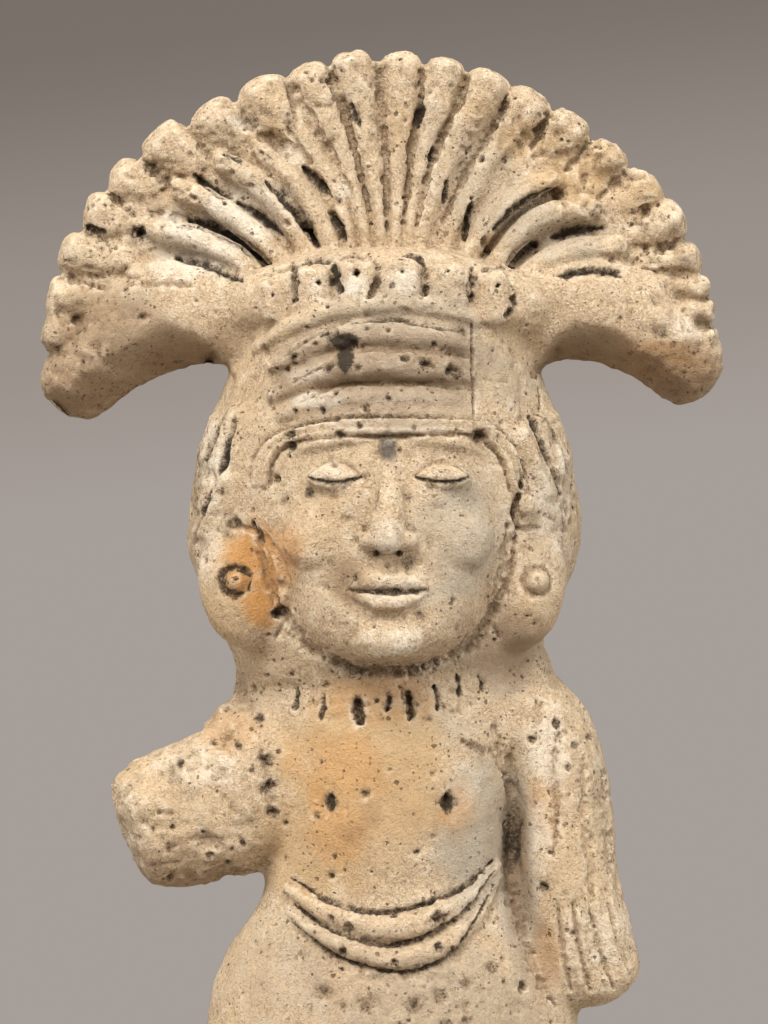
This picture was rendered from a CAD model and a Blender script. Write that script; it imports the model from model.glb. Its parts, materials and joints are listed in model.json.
"""A carved stone figurine in a plain studio: its worn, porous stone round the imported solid.

The figure is one stone, faces -Y and stands on z = 0. Its masses are roughed out, fused into one
skin, carved, worn and dressed in one finish. Sizes are fields in metres. Hand-set places are
(x, z) or (x, z, half width) in millimetres, x from the middle line and z above the floor.
"""

from __future__ import annotations

import json
import logging
import math
from collections.abc import Sequence
from dataclasses import dataclass, field
from enum import Enum
from itertools import pairwise
from typing import Any

import bmesh
import bpy
import numpy as np
from mathutils import Matrix, Vector
from mathutils.kdtree import KDTree

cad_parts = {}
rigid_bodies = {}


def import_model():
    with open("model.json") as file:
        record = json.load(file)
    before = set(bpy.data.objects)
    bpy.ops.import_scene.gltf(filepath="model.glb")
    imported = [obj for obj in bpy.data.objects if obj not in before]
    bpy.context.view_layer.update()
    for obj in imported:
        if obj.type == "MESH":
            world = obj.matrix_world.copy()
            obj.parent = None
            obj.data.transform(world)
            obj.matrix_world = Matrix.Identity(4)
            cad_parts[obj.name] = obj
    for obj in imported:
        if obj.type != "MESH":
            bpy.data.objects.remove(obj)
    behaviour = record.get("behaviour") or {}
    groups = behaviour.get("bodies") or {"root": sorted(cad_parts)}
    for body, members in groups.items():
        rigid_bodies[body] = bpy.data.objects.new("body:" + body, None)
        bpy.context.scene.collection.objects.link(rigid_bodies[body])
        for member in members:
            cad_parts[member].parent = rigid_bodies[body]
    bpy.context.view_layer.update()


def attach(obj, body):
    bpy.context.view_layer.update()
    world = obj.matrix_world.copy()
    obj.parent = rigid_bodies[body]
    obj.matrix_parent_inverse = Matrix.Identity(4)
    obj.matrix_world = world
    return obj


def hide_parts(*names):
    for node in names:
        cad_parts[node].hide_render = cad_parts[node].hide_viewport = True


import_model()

MM = 0.001
log = logging.getLogger("figurine")

Blank = bpy.types.Object
Socket = bpy.types.NodeSocket
Pair = tuple[float, float]
Triple = tuple[float, float, float]
Colour = Triple
Track = Sequence[Sequence[float]]  # rows of numbers, such as the places along a line
Cuts = Sequence[tuple[Track, float, float, float, float]]  # rows for Skin.engrave

# The constants of a common spatial hash, which turn a lattice corner into a random number.
HASH_PRIMES = (73856093, 19349663, 83492791)
HASH_MIX = 1274126177


# Small maths


def mix(low: Any, high: Any, share: Any) -> Any:
    """The number, array or point that lies this share of the way from low to high."""
    return low + (high - low) * share


def spread(count: int) -> list[float]:
    """Evenly spaced shares from -1 to 1."""
    return [mix(-1.0, 1.0, i / (count - 1)) for i in range(count)]


def signed_power(value: float, power: float) -> float:
    """The value raised to a power, with its sign kept."""
    return math.copysign(abs(value) ** power, value)


def smooth_step(values: np.ndarray, start: float, end: float) -> np.ndarray:
    """0 below start, 1 above end, and a soft rise between them."""
    share = np.clip((values - start) / (end - start), 0.0, 1.0)
    return share * share * (3.0 - 2.0 * share)


def curve_through(keys: Sequence[Sequence[float]], count: int) -> np.ndarray:
    """Rows on a smooth curve through a few hand-set rows.

    Args:
        keys: The rows to pass through, each of as many numbers.
        count: How many rows to give.

    Returns:
        The rows, evenly stepped from the first key to the last.
    """
    rows = np.array([tuple(key) for key in keys], dtype=float)
    rows = np.vstack([2 * rows[0] - rows[1], rows, 2 * rows[-1] - rows[-2]])
    spans = len(rows) - 3
    found = []
    for place in np.linspace(0, spans, count):
        span = min(int(place), spans - 1)
        t = place - span
        a, b, c, d = rows[span : span + 4]
        bent = 2 * b + (c - a) * t + (2 * a - 5 * b + 4 * c - d) * t**2
        found.append(0.5 * (bent + (3 * b - a - 3 * c + d) * t**3))
    return np.array(found)


def bend(start: Vector, pull: Vector, end: Vector, count: int) -> list[Vector]:
    """Points from start to end on one bend that is drawn towards the point pull."""
    shares = [i / (count - 1) for i in range(count)]
    return [start * (1 - t) ** 2 + pull * (2 * t * (1 - t)) + end * t**2 for t in shares]


def tapered(low: float, high: float, count: int, swell: float = 0.0) -> list[float]:
    """Evenly changing sizes from low to high, with a swelling in the middle."""
    shares = [i / (count - 1) for i in range(count)]
    return [mix(low, high, t) + swell * math.sin(math.pi * t) for t in shares]


def lattice_noise(points: np.ndarray, size: float, seed: int) -> np.ndarray:
    """Smooth noise from -1 to 1.

    Args:
        points: Where to read it, one row a point.
        size: How far apart its lumps are.
        seed: Which of many patterns it is.

    Returns:
        One value a point.
    """
    spots = points / size + 31.7 * seed
    base = np.floor(spots).astype(np.int64)
    share = spots - base
    share = share * share * (3 - 2 * share)
    total = np.zeros(len(points))
    for corner in range(8):
        step = np.array([corner & 1, corner >> 1 & 1, corner >> 2 & 1])
        x, y, z = (base + step).T * np.array(HASH_PRIMES)[:, None]
        mixed = x ^ y ^ z
        mixed = (mixed ^ (mixed >> 13)) * HASH_MIX + seed
        value = ((mixed ^ (mixed >> 16)) & 0xFFFF) / 32767.5 - 1
        total += value * np.prod(np.where(step, share, 1 - share), axis=1)
    return total


# The bench: rough shapes made with Blender's own tools


def deselect_all() -> None:
    """Leaves nothing selected."""
    bpy.ops.object.select_all(action="DESELECT")


def egg(name: str, centre: Vector, half_sizes: Sequence[float], segments: int = 40) -> Blank:
    """An egg, pressed out of a ball.

    Args:
        name: The blank's name.
        centre: Its middle.
        half_sizes: Its half size along each axis.
        segments: How many faces go round it.

    Returns:
        The blank.
    """
    deselect_all()
    bpy.ops.mesh.primitive_uv_sphere_add(segments=segments, ring_count=segments // 2, radius=1.0)
    blank = bpy.context.object
    blank.name = name
    bpy.ops.object.mode_set(mode="EDIT")
    bpy.ops.mesh.select_all(action="SELECT")
    bpy.ops.transform.resize(value=half_sizes, center_override=(0, 0, 0))
    bpy.ops.transform.translate(value=centre)
    bpy.ops.object.mode_set(mode="OBJECT")
    return blank


def column(name: str, sections: Track, squareness: float = 2.0, levels: int = 30) -> Blank:
    """A mass drawn up out of a disc, level by level.

    Args:
        name: The blank's name.
        sections: Rows of x, y, z, half width and half depth, from the foot up.
        squareness: 2 gives true ovals, and more gives flatter fronts and sides.
        levels: How many levels are drawn through the sections.

    Returns:
        The blank.
    """
    rows = curve_through(sections, levels)
    deselect_all()
    bpy.ops.mesh.primitive_circle_add(vertices=96, radius=1.0, fill_type="NGON")
    blank = bpy.context.object
    blank.name = name
    x, y, z, wide, deep = rows[0]
    for vertex in blank.data.vertices:
        across, inward = (signed_power(vertex.co[axis], 2 / squareness) for axis in (0, 1))
        vertex.co = (x + wide * across, y + deep * inward, z)
    bpy.ops.object.mode_set(mode="EDIT")
    bpy.ops.mesh.select_all(action="SELECT")
    for lower, upper in pairwise(rows):
        bpy.ops.mesh.extrude_region_move(TRANSFORM_OT_translate={"value": upper[:3] - lower[:3]})
        share = (upper[3] / lower[3], upper[4] / lower[4], 1.0)
        bpy.ops.transform.resize(value=share, center_override=upper[:3])
    bpy.ops.mesh.select_all(action="SELECT")
    bpy.ops.mesh.normals_make_consistent(inside=False)
    bpy.ops.object.mode_set(mode="OBJECT")
    return blank


def limb(
    name: str,
    path: Sequence[Vector],
    widths: Sequence[float],
    depths: Sequence[float],
    sides: int = 24,
    reach: float = 1.0,
    squareness: float = 2.0,
) -> Blank:
    """A round-ended limb that follows a path.

    Args:
        name: The blank's name.
        path: Its middle line.
        widths: Its half width across the path, in the plane of the front, at each point.
        depths: Its half depth at each point.
        sides: How many faces go round it.
        reach: How far each rounded end stands out, as a share of the half width there.
        squareness: 2 gives round limbs, and more gives flatter fronts and blunter ends.

    Returns:
        The blank.
    """
    count = len(path)
    power = 2 / squareness
    ways = [(path[min(i + 1, count - 1)] - path[max(i - 1, 0)]).normalized() for i in range(count)]
    leans = [math.radians(85 * i / 4) for i in (4, 3, 2, 1)]
    spots = []
    for a in leans:
        tip = path[0] - ways[0] * (widths[0] * reach * math.sin(a) ** power)
        spots.append((tip, 0, math.cos(a) ** power))
    spots += [(point, i, 1.0) for i, point in enumerate(path)]
    for a in reversed(leans):
        tip = path[-1] + ways[-1] * (widths[-1] * reach * math.sin(a) ** power)
        spots.append((tip, count - 1, math.cos(a) ** power))
    shape = bmesh.new()
    rings = []
    for point, i, share in spots:
        across = ways[i].cross(Vector((0, 1, 0))).normalized()
        front = across.cross(ways[i]).normalized()
        ring = []
        for side in range(sides):
            turn = math.tau * side / sides
            offset = across * (widths[i] * signed_power(math.cos(turn), power))
            offset += front * (depths[i] * signed_power(math.sin(turn), power))
            ring.append(shape.verts.new(point + offset * share))
        rings.append(ring)
    for lower, upper in pairwise(rings):
        for i in range(sides):
            j = (i + 1) % sides
            shape.faces.new((lower[i], lower[j], upper[j], upper[i]))
    shape.faces.new(rings[0])
    shape.faces.new(rings[-1])
    bmesh.ops.recalc_face_normals(shape, faces=shape.faces)
    mesh = bpy.data.meshes.new(name)
    shape.to_mesh(mesh)
    shape.free()
    blank = bpy.data.objects.new(name, mesh)
    bpy.context.scene.collection.objects.link(blank)
    return blank


def cord(name: str, path: Sequence[Vector], radius: float, thin_ends: float = 0.0) -> Blank:
    """A round limb of one radius, which may thin towards both ends."""
    radii = [radius * (1 - thin_ends * share**2) for share in spread(len(path))]
    return limb(name, path, radii, radii, sides=16)


def join(name: str, blanks: Sequence[Blank]) -> Blank:
    """One object out of many blanks, which keep their places.

    Args:
        name: The object's name.
        blanks: What is joined; they are used up.

    Returns:
        The joined object.
    """
    deselect_all()
    for blank in blanks:
        blank.select_set(True)
    bpy.context.view_layer.objects.active = blanks[0]
    bpy.ops.object.join()
    blanks[0].name = name
    return blanks[0]


def apply_modifier(blank: Blank, kind: str, **settings: object) -> None:
    """Adds a modifier to a blank and applies it.

    Args:
        blank: What it is applied to.
        kind: The modifier's type, such as SMOOTH.
        **settings: Its settings, by name.
    """
    modifier = blank.modifiers.new(kind.title(), kind)
    for key, value in settings.items():
        setattr(modifier, key, value)
    deselect_all()
    blank.select_set(True)
    bpy.context.view_layer.objects.active = blank
    bpy.ops.object.modifier_apply(modifier=modifier.name)


def fuse(name: str, blanks: Sequence[Blank], voxel: float, passes: int) -> Blank:
    """One even skin round overlapping blanks.

    Args:
        name: The new object's name.
        blanks: What is fused; they are used up.
        voxel: The size of the skin's faces.
        passes: How many times the creases are softened.

    Returns:
        The fused object.
    """
    stone = join(name, blanks)
    apply_modifier(stone, "REMESH", mode="VOXEL", voxel_size=voxel)
    apply_modifier(stone, "SMOOTH", factor=0.5, iterations=passes)
    return stone


def keep_outer_skin(stone: Blank) -> None:
    """Takes out the sealed hollows that fusing leaves inside a stone.

    Args:
        stone: The fused stone, whose highest point is on its outer skin.
    """
    heights = np.empty(len(stone.data.vertices) * 3)
    stone.data.vertices.foreach_get("co", heights)
    highest = int(heights[2::3].argmax())
    bpy.ops.object.mode_set(mode="EDIT")
    bpy.ops.mesh.select_mode(type="VERT")
    bpy.ops.mesh.select_all(action="DESELECT")
    bpy.ops.object.mode_set(mode="OBJECT")
    stone.data.vertices[highest].select = True
    bpy.ops.object.mode_set(mode="EDIT")
    bpy.ops.mesh.select_linked()
    bpy.ops.mesh.select_all(action="INVERT")
    bpy.ops.mesh.delete(type="VERT")
    bpy.ops.object.mode_set(mode="OBJECT")


def cut_flat(stone: Blank) -> None:
    """Cuts a stone off at the floor and closes it there with one flat face.

    Args:
        stone: The stone, which runs on below the floor.
    """
    bpy.context.view_layer.objects.active = stone
    bpy.ops.object.mode_set(mode="EDIT")
    bpy.ops.mesh.select_all(action="SELECT")
    settings = {"use_fill": True, "clear_inner": True, "threshold": 0.001 * MM}
    bpy.ops.mesh.bisect(plane_co=(0, 0, 0), plane_no=(0, 0, 1), **settings)
    bpy.ops.object.mode_set(mode="OBJECT")


# The skin while it is carved


class Mark(Enum):
    """What a spot of the skin carries besides bare stone; each is a layer of its own."""

    DIRT = "dirt"
    WORN = "worn"
    HOLLOW = "hollow"
    RUST = "rust"
    UMBER = "umber"
    OCHRE = "ochre"
    SOOT = "soot"
    CHALK = "chalk"
    ASH = "ash"


Share = np.ndarray | float  # one value for all points, or one for each
Stains = Sequence[tuple[Mark, Track]]  # rows for Skin.stain


@dataclass(frozen=True)
class Chisel:
    """How grooves are cut.

    The first five are shares of a groove's half width: how far it reaches, where its floor ends,
    where its side ends, and where its dirt starts and ends to fade. Then come how much its ends
    thin, and how far forward the skin has to face to be cut.
    """

    reach: float = 2.4
    floor: float = 0.15
    lip: float = 1.05
    dirt_start: float = 0.10
    dirt_end: float = 2.10
    thin_ends: float = 0.6
    least_front: float = 0.12


@dataclass(frozen=True)
class Weathering:
    """How many passes find fine and broad hollows, and where each mark starts and is full."""

    fine_passes: int = 10
    broad_passes: int = 110
    crease: Pair = (0.03 * MM, 0.18 * MM)
    hollow: Pair = (0.05 * MM, 0.85 * MM)
    fine_edge: Pair = (0.03 * MM, 0.16 * MM)
    broad_edge: Pair = (0.15 * MM, 0.90 * MM)
    underside: Pair = (0.20, 0.80)


class Skin:
    """The fused skin's points, which cuts move along the skin's own normals."""

    chisel = Chisel()
    weathering = Weathering()

    def __init__(self, stone: Blank) -> None:
        """Reads a stone's points.

        Args:
            stone: The fused stone, which write() changes.
        """
        self.stone = stone
        self.mesh = stone.data
        count = len(self.mesh.vertices)
        self.points = self._coordinates(self.mesh)
        self.normals = self._normals()
        self.wobble = 0.6 * lattice_noise(self.points, 1.5 * MM, 3)
        self.wobble += 0.6 * lattice_noise(self.points, 0.7 * MM, 6)
        self.drift = lattice_noise(self.points, 5.0 * MM, 4)
        self.raised = np.zeros(count)
        self.cut = np.zeros(count)
        self.worn = np.zeros(count)
        self.planed = np.zeros(count)
        self.marks = {mark: np.zeros(count) for mark in Mark}

    @staticmethod
    def _coordinates(mesh: bpy.types.Mesh) -> np.ndarray:
        """Reads where a mesh's points are.

        Args:
            mesh: The mesh.

        Returns:
            Its points, one row each.
        """
        points = np.empty(len(mesh.vertices) * 3)
        mesh.vertices.foreach_get("co", points)
        return points.reshape(-1, 3)

    def _normals(self) -> np.ndarray:
        """Reads which way the stone's skin faces.

        Returns:
            The normals at its points, one row each.
        """
        normals = np.empty(len(self.mesh.vertices) * 3)
        self.mesh.vertex_normals.foreach_get("vector", normals)
        return normals.reshape(-1, 3)

    def mark(self, mark: Mark, values: np.ndarray) -> None:
        """Raises a layer to these values wherever it is lower."""
        self.marks[mark] = np.maximum(self.marks[mark], values)

    def near(self, track: Track, reach: float) -> tuple[np.ndarray, np.ndarray, np.ndarray]:
        """The points in front of a line, as seen along Y.

        Args:
            track: The line's places, in millimetres.
            reach: How far from the line to look.

        Returns:
            The points' indices, how far each lies from the line, and how far along it, from 0 to 1.
        """
        flat = np.array([(spot[0], spot[1]) for spot in track]) * MM
        if len(flat) == 1:
            flat = np.vstack([flat, flat])
        low, high = flat.min(axis=0) - reach, flat.max(axis=0) + reach
        seen = self.normals[:, 1] < -self.chisel.least_front
        for side, axis in ((0, 0), (1, 2)):
            seen &= (self.points[:, axis] > low[side]) & (self.points[:, axis] < high[side])
        found = np.flatnonzero(seen)
        spots = self.points[found][:, (0, 2)]
        gap, place = np.full(len(found), np.inf), np.zeros(len(found))
        for i, (start, end) in enumerate(pairwise(flat)):
            run = end - start
            share = np.clip((spots - start) @ run / max(run @ run, 1e-18), 0.0, 1.0)
            away = np.linalg.norm(spots - start - share[:, None] * run, axis=1)
            place = np.where(away < gap, (i + share) / (len(flat) - 1), place)
            gap = np.minimum(gap, away)
        return found, gap, place

    def groove(
        self, track: Track, half_width: float, depth: float, dirt: float = 0.0, ragged: float = 0.3
    ) -> None:
        """Cuts a groove along a line, or a pit where the line is one place.

        Args:
            track: The line's places, in millimetres.
            half_width: Half its width, in millimetres.
            depth: Its depth, in millimetres.
            dirt: How full of dark dirt it is, from 0 to 1.
            ragged: How uneven its sides are, as a share of its half width.
        """
        half_width, depth, tool = half_width * MM, depth * MM, self.chisel
        found, gap, place = self.near(track, tool.reach * half_width)
        gap = gap + self.wobble[found] * ragged * half_width
        if len(track) > 1:
            gap = gap / (1 - tool.thin_ends * np.abs(2 * place - 1) ** 3)
        press = depth * (1 - smooth_step(gap, tool.floor * half_width, tool.lip * half_width))
        self.cut[found] = np.minimum(self.cut[found], -press)
        edges = (tool.dirt_start * half_width, tool.dirt_end * half_width)
        stain = dirt * (1 - smooth_step(gap, *edges))
        self.marks[Mark.DIRT][found] = np.maximum(self.marks[Mark.DIRT][found], stain)

    def engrave(self, cuts: Cuts, count: int = 0) -> None:
        """Cuts a list of grooves.

        Args:
            cuts: Rows of places, half width, depth, dirt and raggedness, as groove takes them.
            count: How many places a curve through each row's own ones has, or 0 for straight lines.
        """
        for track, half_width, depth, dirt, ragged in cuts:
            line = curve_through(track, count) if count else track
            self.groove(line, half_width, depth, dirt, ragged)

    def drill(self, holes: Track, wide: float, deep: float, dirt: float, ragged: float) -> None:
        """Presses round holes.

        Args:
            holes: Rows of x, z and radius, in millimetres.
            wide: Their real radius, as a share of the one in the row.
            deep: Their depth, as a share of the same radius.
            dirt: How full of dark dirt they are, from 0 to 1.
            ragged: How uneven their sides are.
        """
        for x, z, radius in holes:
            self.groove([(x, z)], wide * radius, deep * radius, dirt, ragged)

    def swell(self, track: Track, half_width: float, height: float) -> None:
        """Raises a soft ridge along a line.

        Args:
            track: The line's places, in millimetres.
            half_width: Half its width, in millimetres.
            height: Its height, in millimetres.
        """
        found, gap, _ = self.near(track, half_width * MM)
        rise = height * MM * (1 - smooth_step(gap, 0.0, half_width * MM))
        self.raised[found] += rise

    def pit(self, spot: Vector, radius: float, depth: float, dirt: float, tree: KDTree) -> None:
        """Presses a round pit anywhere on the skin.

        Args:
            spot: Its place.
            radius: Its radius, in metres.
            depth: Its depth, in metres.
            dirt: How full of dark dirt it is, from 0 to 1.
            tree: All of the skin's points.
        """
        for _, index, gap in tree.find_range(spot, 1.5 * radius):
            away = gap / radius + 0.45 * self.wobble[index]
            share = min(1.0, max(0.0, 1.4 * (1 - away * away)))
            self.cut[index] = min(self.cut[index], -depth * share)
            self.marks[Mark.DIRT][index] = max(self.marks[Mark.DIRT][index], dirt * share)

    def patch(
        self, mark: Mark, x: float, z: float, wide: float, high: float, strength: float
    ) -> None:
        """Lays a soft-edged patch on the front.

        Args:
            mark: Which layer it goes on.
            x: Its middle from the middle line, in millimetres.
            z: Its middle above the floor, in millimetres.
            wide: Its half width, in millimetres.
            high: Its half height, in millimetres.
            strength: How much of it there is in its middle, from 0 to 1.
        """
        across = (self.points[:, 0] / MM - x) / wide
        up = (self.points[:, 2] / MM - z) / high
        gap = np.sqrt(across**2 + up**2) + 0.22 * self.drift + 0.10 * self.wobble
        share = strength * (1 - smooth_step(gap, 0.45, 1.15))
        self.mark(mark, share * (1 - smooth_step(self.normals[:, 1], 0.0, 0.5)))

    def stain(self, stains: Stains) -> None:
        """Lays lists of patches.

        Args:
            stains: Layers, each with rows of x, z, half width, half height and strength.
        """
        for mark, spots in stains:
            for spot in spots:
                self.patch(mark, *spot)

    def zone(self, spots: Track) -> np.ndarray:
        """A soft-edged share of the skin round hand-set places.

        Args:
            spots: Rows of x, z, half width, half height, all in millimetres, and strength.

        Returns:
            The share at each point, from 0 to 1.
        """
        share = np.zeros(len(self.points))
        for x, z, wide, high, strength in spots:
            gap = np.hypot((self.points[:, 0] / MM - x) / wide, (self.points[:, 2] / MM - z) / high)
            share = np.maximum(share, strength * (1 - smooth_step(gap, 0.5, 1.2)))
        return share

    def roughen(
        self, size: float, height: float, seed: int, share: Share = 1.0, tall: float = 1.0
    ) -> None:
        """Lays lumps over the skin or a share of it.

        Args:
            size: How far apart the lumps are, in millimetres.
            height: How high they are, in millimetres.
            seed: Which of many patterns it is.
            share: How much of them each point gets.
            tall: How many times taller than wide the lumps are.
        """
        spots = self.points * (1.0, 1.0, 1.0 / tall)
        self.worn += lattice_noise(spots, size * MM, seed) * height * MM * share

    def erode(
        self, size: float, depth: float, seed: int, share: Share = 1.0, dirt: float = 0.0
    ) -> None:
        """Eats uneven hollows into the skin, and leaves the skin between them.

        Args:
            size: How far apart they are, in millimetres.
            depth: Their depth, in millimetres.
            seed: Which of many patterns it is.
            share: How much of them each point gets.
            dirt: How full of dark dirt they are, from 0 to 1.
        """
        hollow = smooth_step(lattice_noise(self.points, size * MM, seed), 0.15, 0.75) * share
        self.worn -= hollow * depth * MM
        self.mark(Mark.DIRT, hollow * dirt)

    def plane_off(self, edge: Track, foot: Track, front: float, back: float) -> np.ndarray:
        """Planes the front down to a slope that runs back from an edge to the outline under it.

        Args:
            edge: The places of the slope's upper edge, from left to right.
            foot: The places of the outline under it, from left to right.
            front: The depth of the edge, in millimetres from the middle plane.
            back: The depth of the outline.

        Returns:
            How far down the slope each point lies, or -1 off it.
        """
        x, y, z = (self.points / MM).T
        top, low = (np.interp(x, *zip(*line)) for line in (edge, foot))
        share = (top - z) / np.maximum(top - low, 0.5)
        ends = smooth_step(x, edge[0][0] - 1.5, edge[0][0] + 4.5)
        ends *= 1 - smooth_step(x, edge[-1][0] - 4.5, edge[-1][0] + 1.0)
        chord = mix(front, back, share)
        held = (share > 0) & (share < 1.3) & (y < 3.0) & (ends > 0)
        depth = 0.9 * ends * smooth_step(share, 0.0, 0.9) * (chord - y)
        self.planed[held] = np.maximum(self.planed[held], depth[held])
        return np.where(held, share, -1.0)

    def write(self) -> None:
        """Moves the stone's points by all that was raised, cut and worn."""
        shift = self.raised + self.cut + self.worn
        moved = self.points + self.normals * shift[:, None]
        moved[:, 1] += self.planed * MM
        self._place(moved)
        self._place(mix(moved, self.softened(6), smooth_step(self.planed, 0.2, 1.2)[:, None]))

    def _place(self, points: np.ndarray) -> None:
        """Puts the stone's points here, one row each."""
        self.mesh.vertices.foreach_set("co", points.ravel())
        self.mesh.update()

    def softened(self, passes: int) -> np.ndarray:
        """Softens a copy of the stone.

        Args:
            passes: How many times it is softened.

        Returns:
            The copy's points, one row each.
        """
        copy = bpy.data.objects.new("soft", self.mesh.copy())
        bpy.context.scene.collection.objects.link(copy)
        apply_modifier(copy, "SMOOTH", factor=0.5, iterations=passes)
        points = self._coordinates(copy.data)
        spare = copy.data
        bpy.data.objects.remove(copy)
        bpy.data.meshes.remove(spare)
        return points

    def read_hollows(self) -> None:
        """Marks the creases, where dirt stays, and the edges, which handling wears pale."""
        rule, points, normals = self.weathering, self._coordinates(self.mesh), self._normals()
        fine = ((self.softened(rule.fine_passes) - points) * normals).sum(axis=1)
        broad = ((self.softened(rule.broad_passes) - points) * normals).sum(axis=1)
        crease = smooth_step(fine, *rule.crease)
        self.mark(Mark.DIRT, 0.34 * crease)
        hollow = np.maximum(0.85 * smooth_step(broad, *rule.hollow), 0.9 * crease)
        hollow *= 1 - 0.6 * np.minimum(self.marks[Mark.CHALK], 1.0)
        under = smooth_step(-normals[:, 2], *rule.underside)
        self.mark(Mark.HOLLOW, np.maximum(hollow, 0.60 * under))
        edge = smooth_step(-fine, *rule.fine_edge) + smooth_step(-broad, *rule.broad_edge)
        bare = 1 - 0.7 * np.minimum(self.marks[Mark.UMBER], 1.0)
        self.mark(Mark.WORN, np.clip(edge, 0.0, 1.0) * bare)

    def store_marks(self) -> None:
        """Writes each layer to the mesh as an attribute that the finish reads."""
        for mark, values in self.marks.items():
            layer = self.mesh.attributes.new(mark.value, "FLOAT", "POINT")
            layer.data.foreach_set("value", values.astype(np.float32))


# The sub-assemblies


class Form:
    """A sub-assembly of the stone, which takes part in one or more of these steps."""

    def masses(self) -> list[Blank]:
        """Roughs out the main masses, as blanks to fuse."""
        return []

    def details(self) -> list[Blank]:
        """Makes the finer forms, as blanks to fuse onto the masses."""
        return []

    def carve(self, skin: Skin) -> None:
        """Carves, wears and stains the fused skin of the whole stone."""


def scaled_rows(middle: Pair, levels: Pair, half: Pair, profile: Track) -> Track:
    """Sections for a column, from a profile in shares.

    Args:
        middle: The column's x and y.
        levels: Its lowest level and its height.
        half: Its half width and half depth.
        profile: Rows of rise, width and depth, as shares of the height and of those halves.

    Returns:
        Rows of x, y, z, half width and half depth.
    """
    (foot, height), (across, inward) = levels, half
    return [
        (*middle, foot + rise * height, wide * across, deep * inward)
        for rise, wide, deep in profile
    ]


@dataclass(frozen=True)
class Stature:
    """The levels and the lean that the sub-assemblies share."""

    base: float = 7 * MM
    skirt: float = 75 * MM
    trunk: float = 37 * MM
    neck: float = 7 * MM
    head: float = 82 * MM
    body_x: float = 2.2 * MM
    face_x: float = 1.3 * MM

    @property
    def waist(self) -> float:
        """Where the skirt ends and the trunk begins."""
        return self.base + self.skirt

    @property
    def shoulder(self) -> float:
        """Where the trunk ends."""
        return self.waist + self.trunk

    @property
    def chin(self) -> float:
        """Where the head begins."""
        return self.shoulder + self.neck

    @property
    def crown(self) -> float:
        """Where the head ends."""
        return self.chin + self.head


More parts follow.
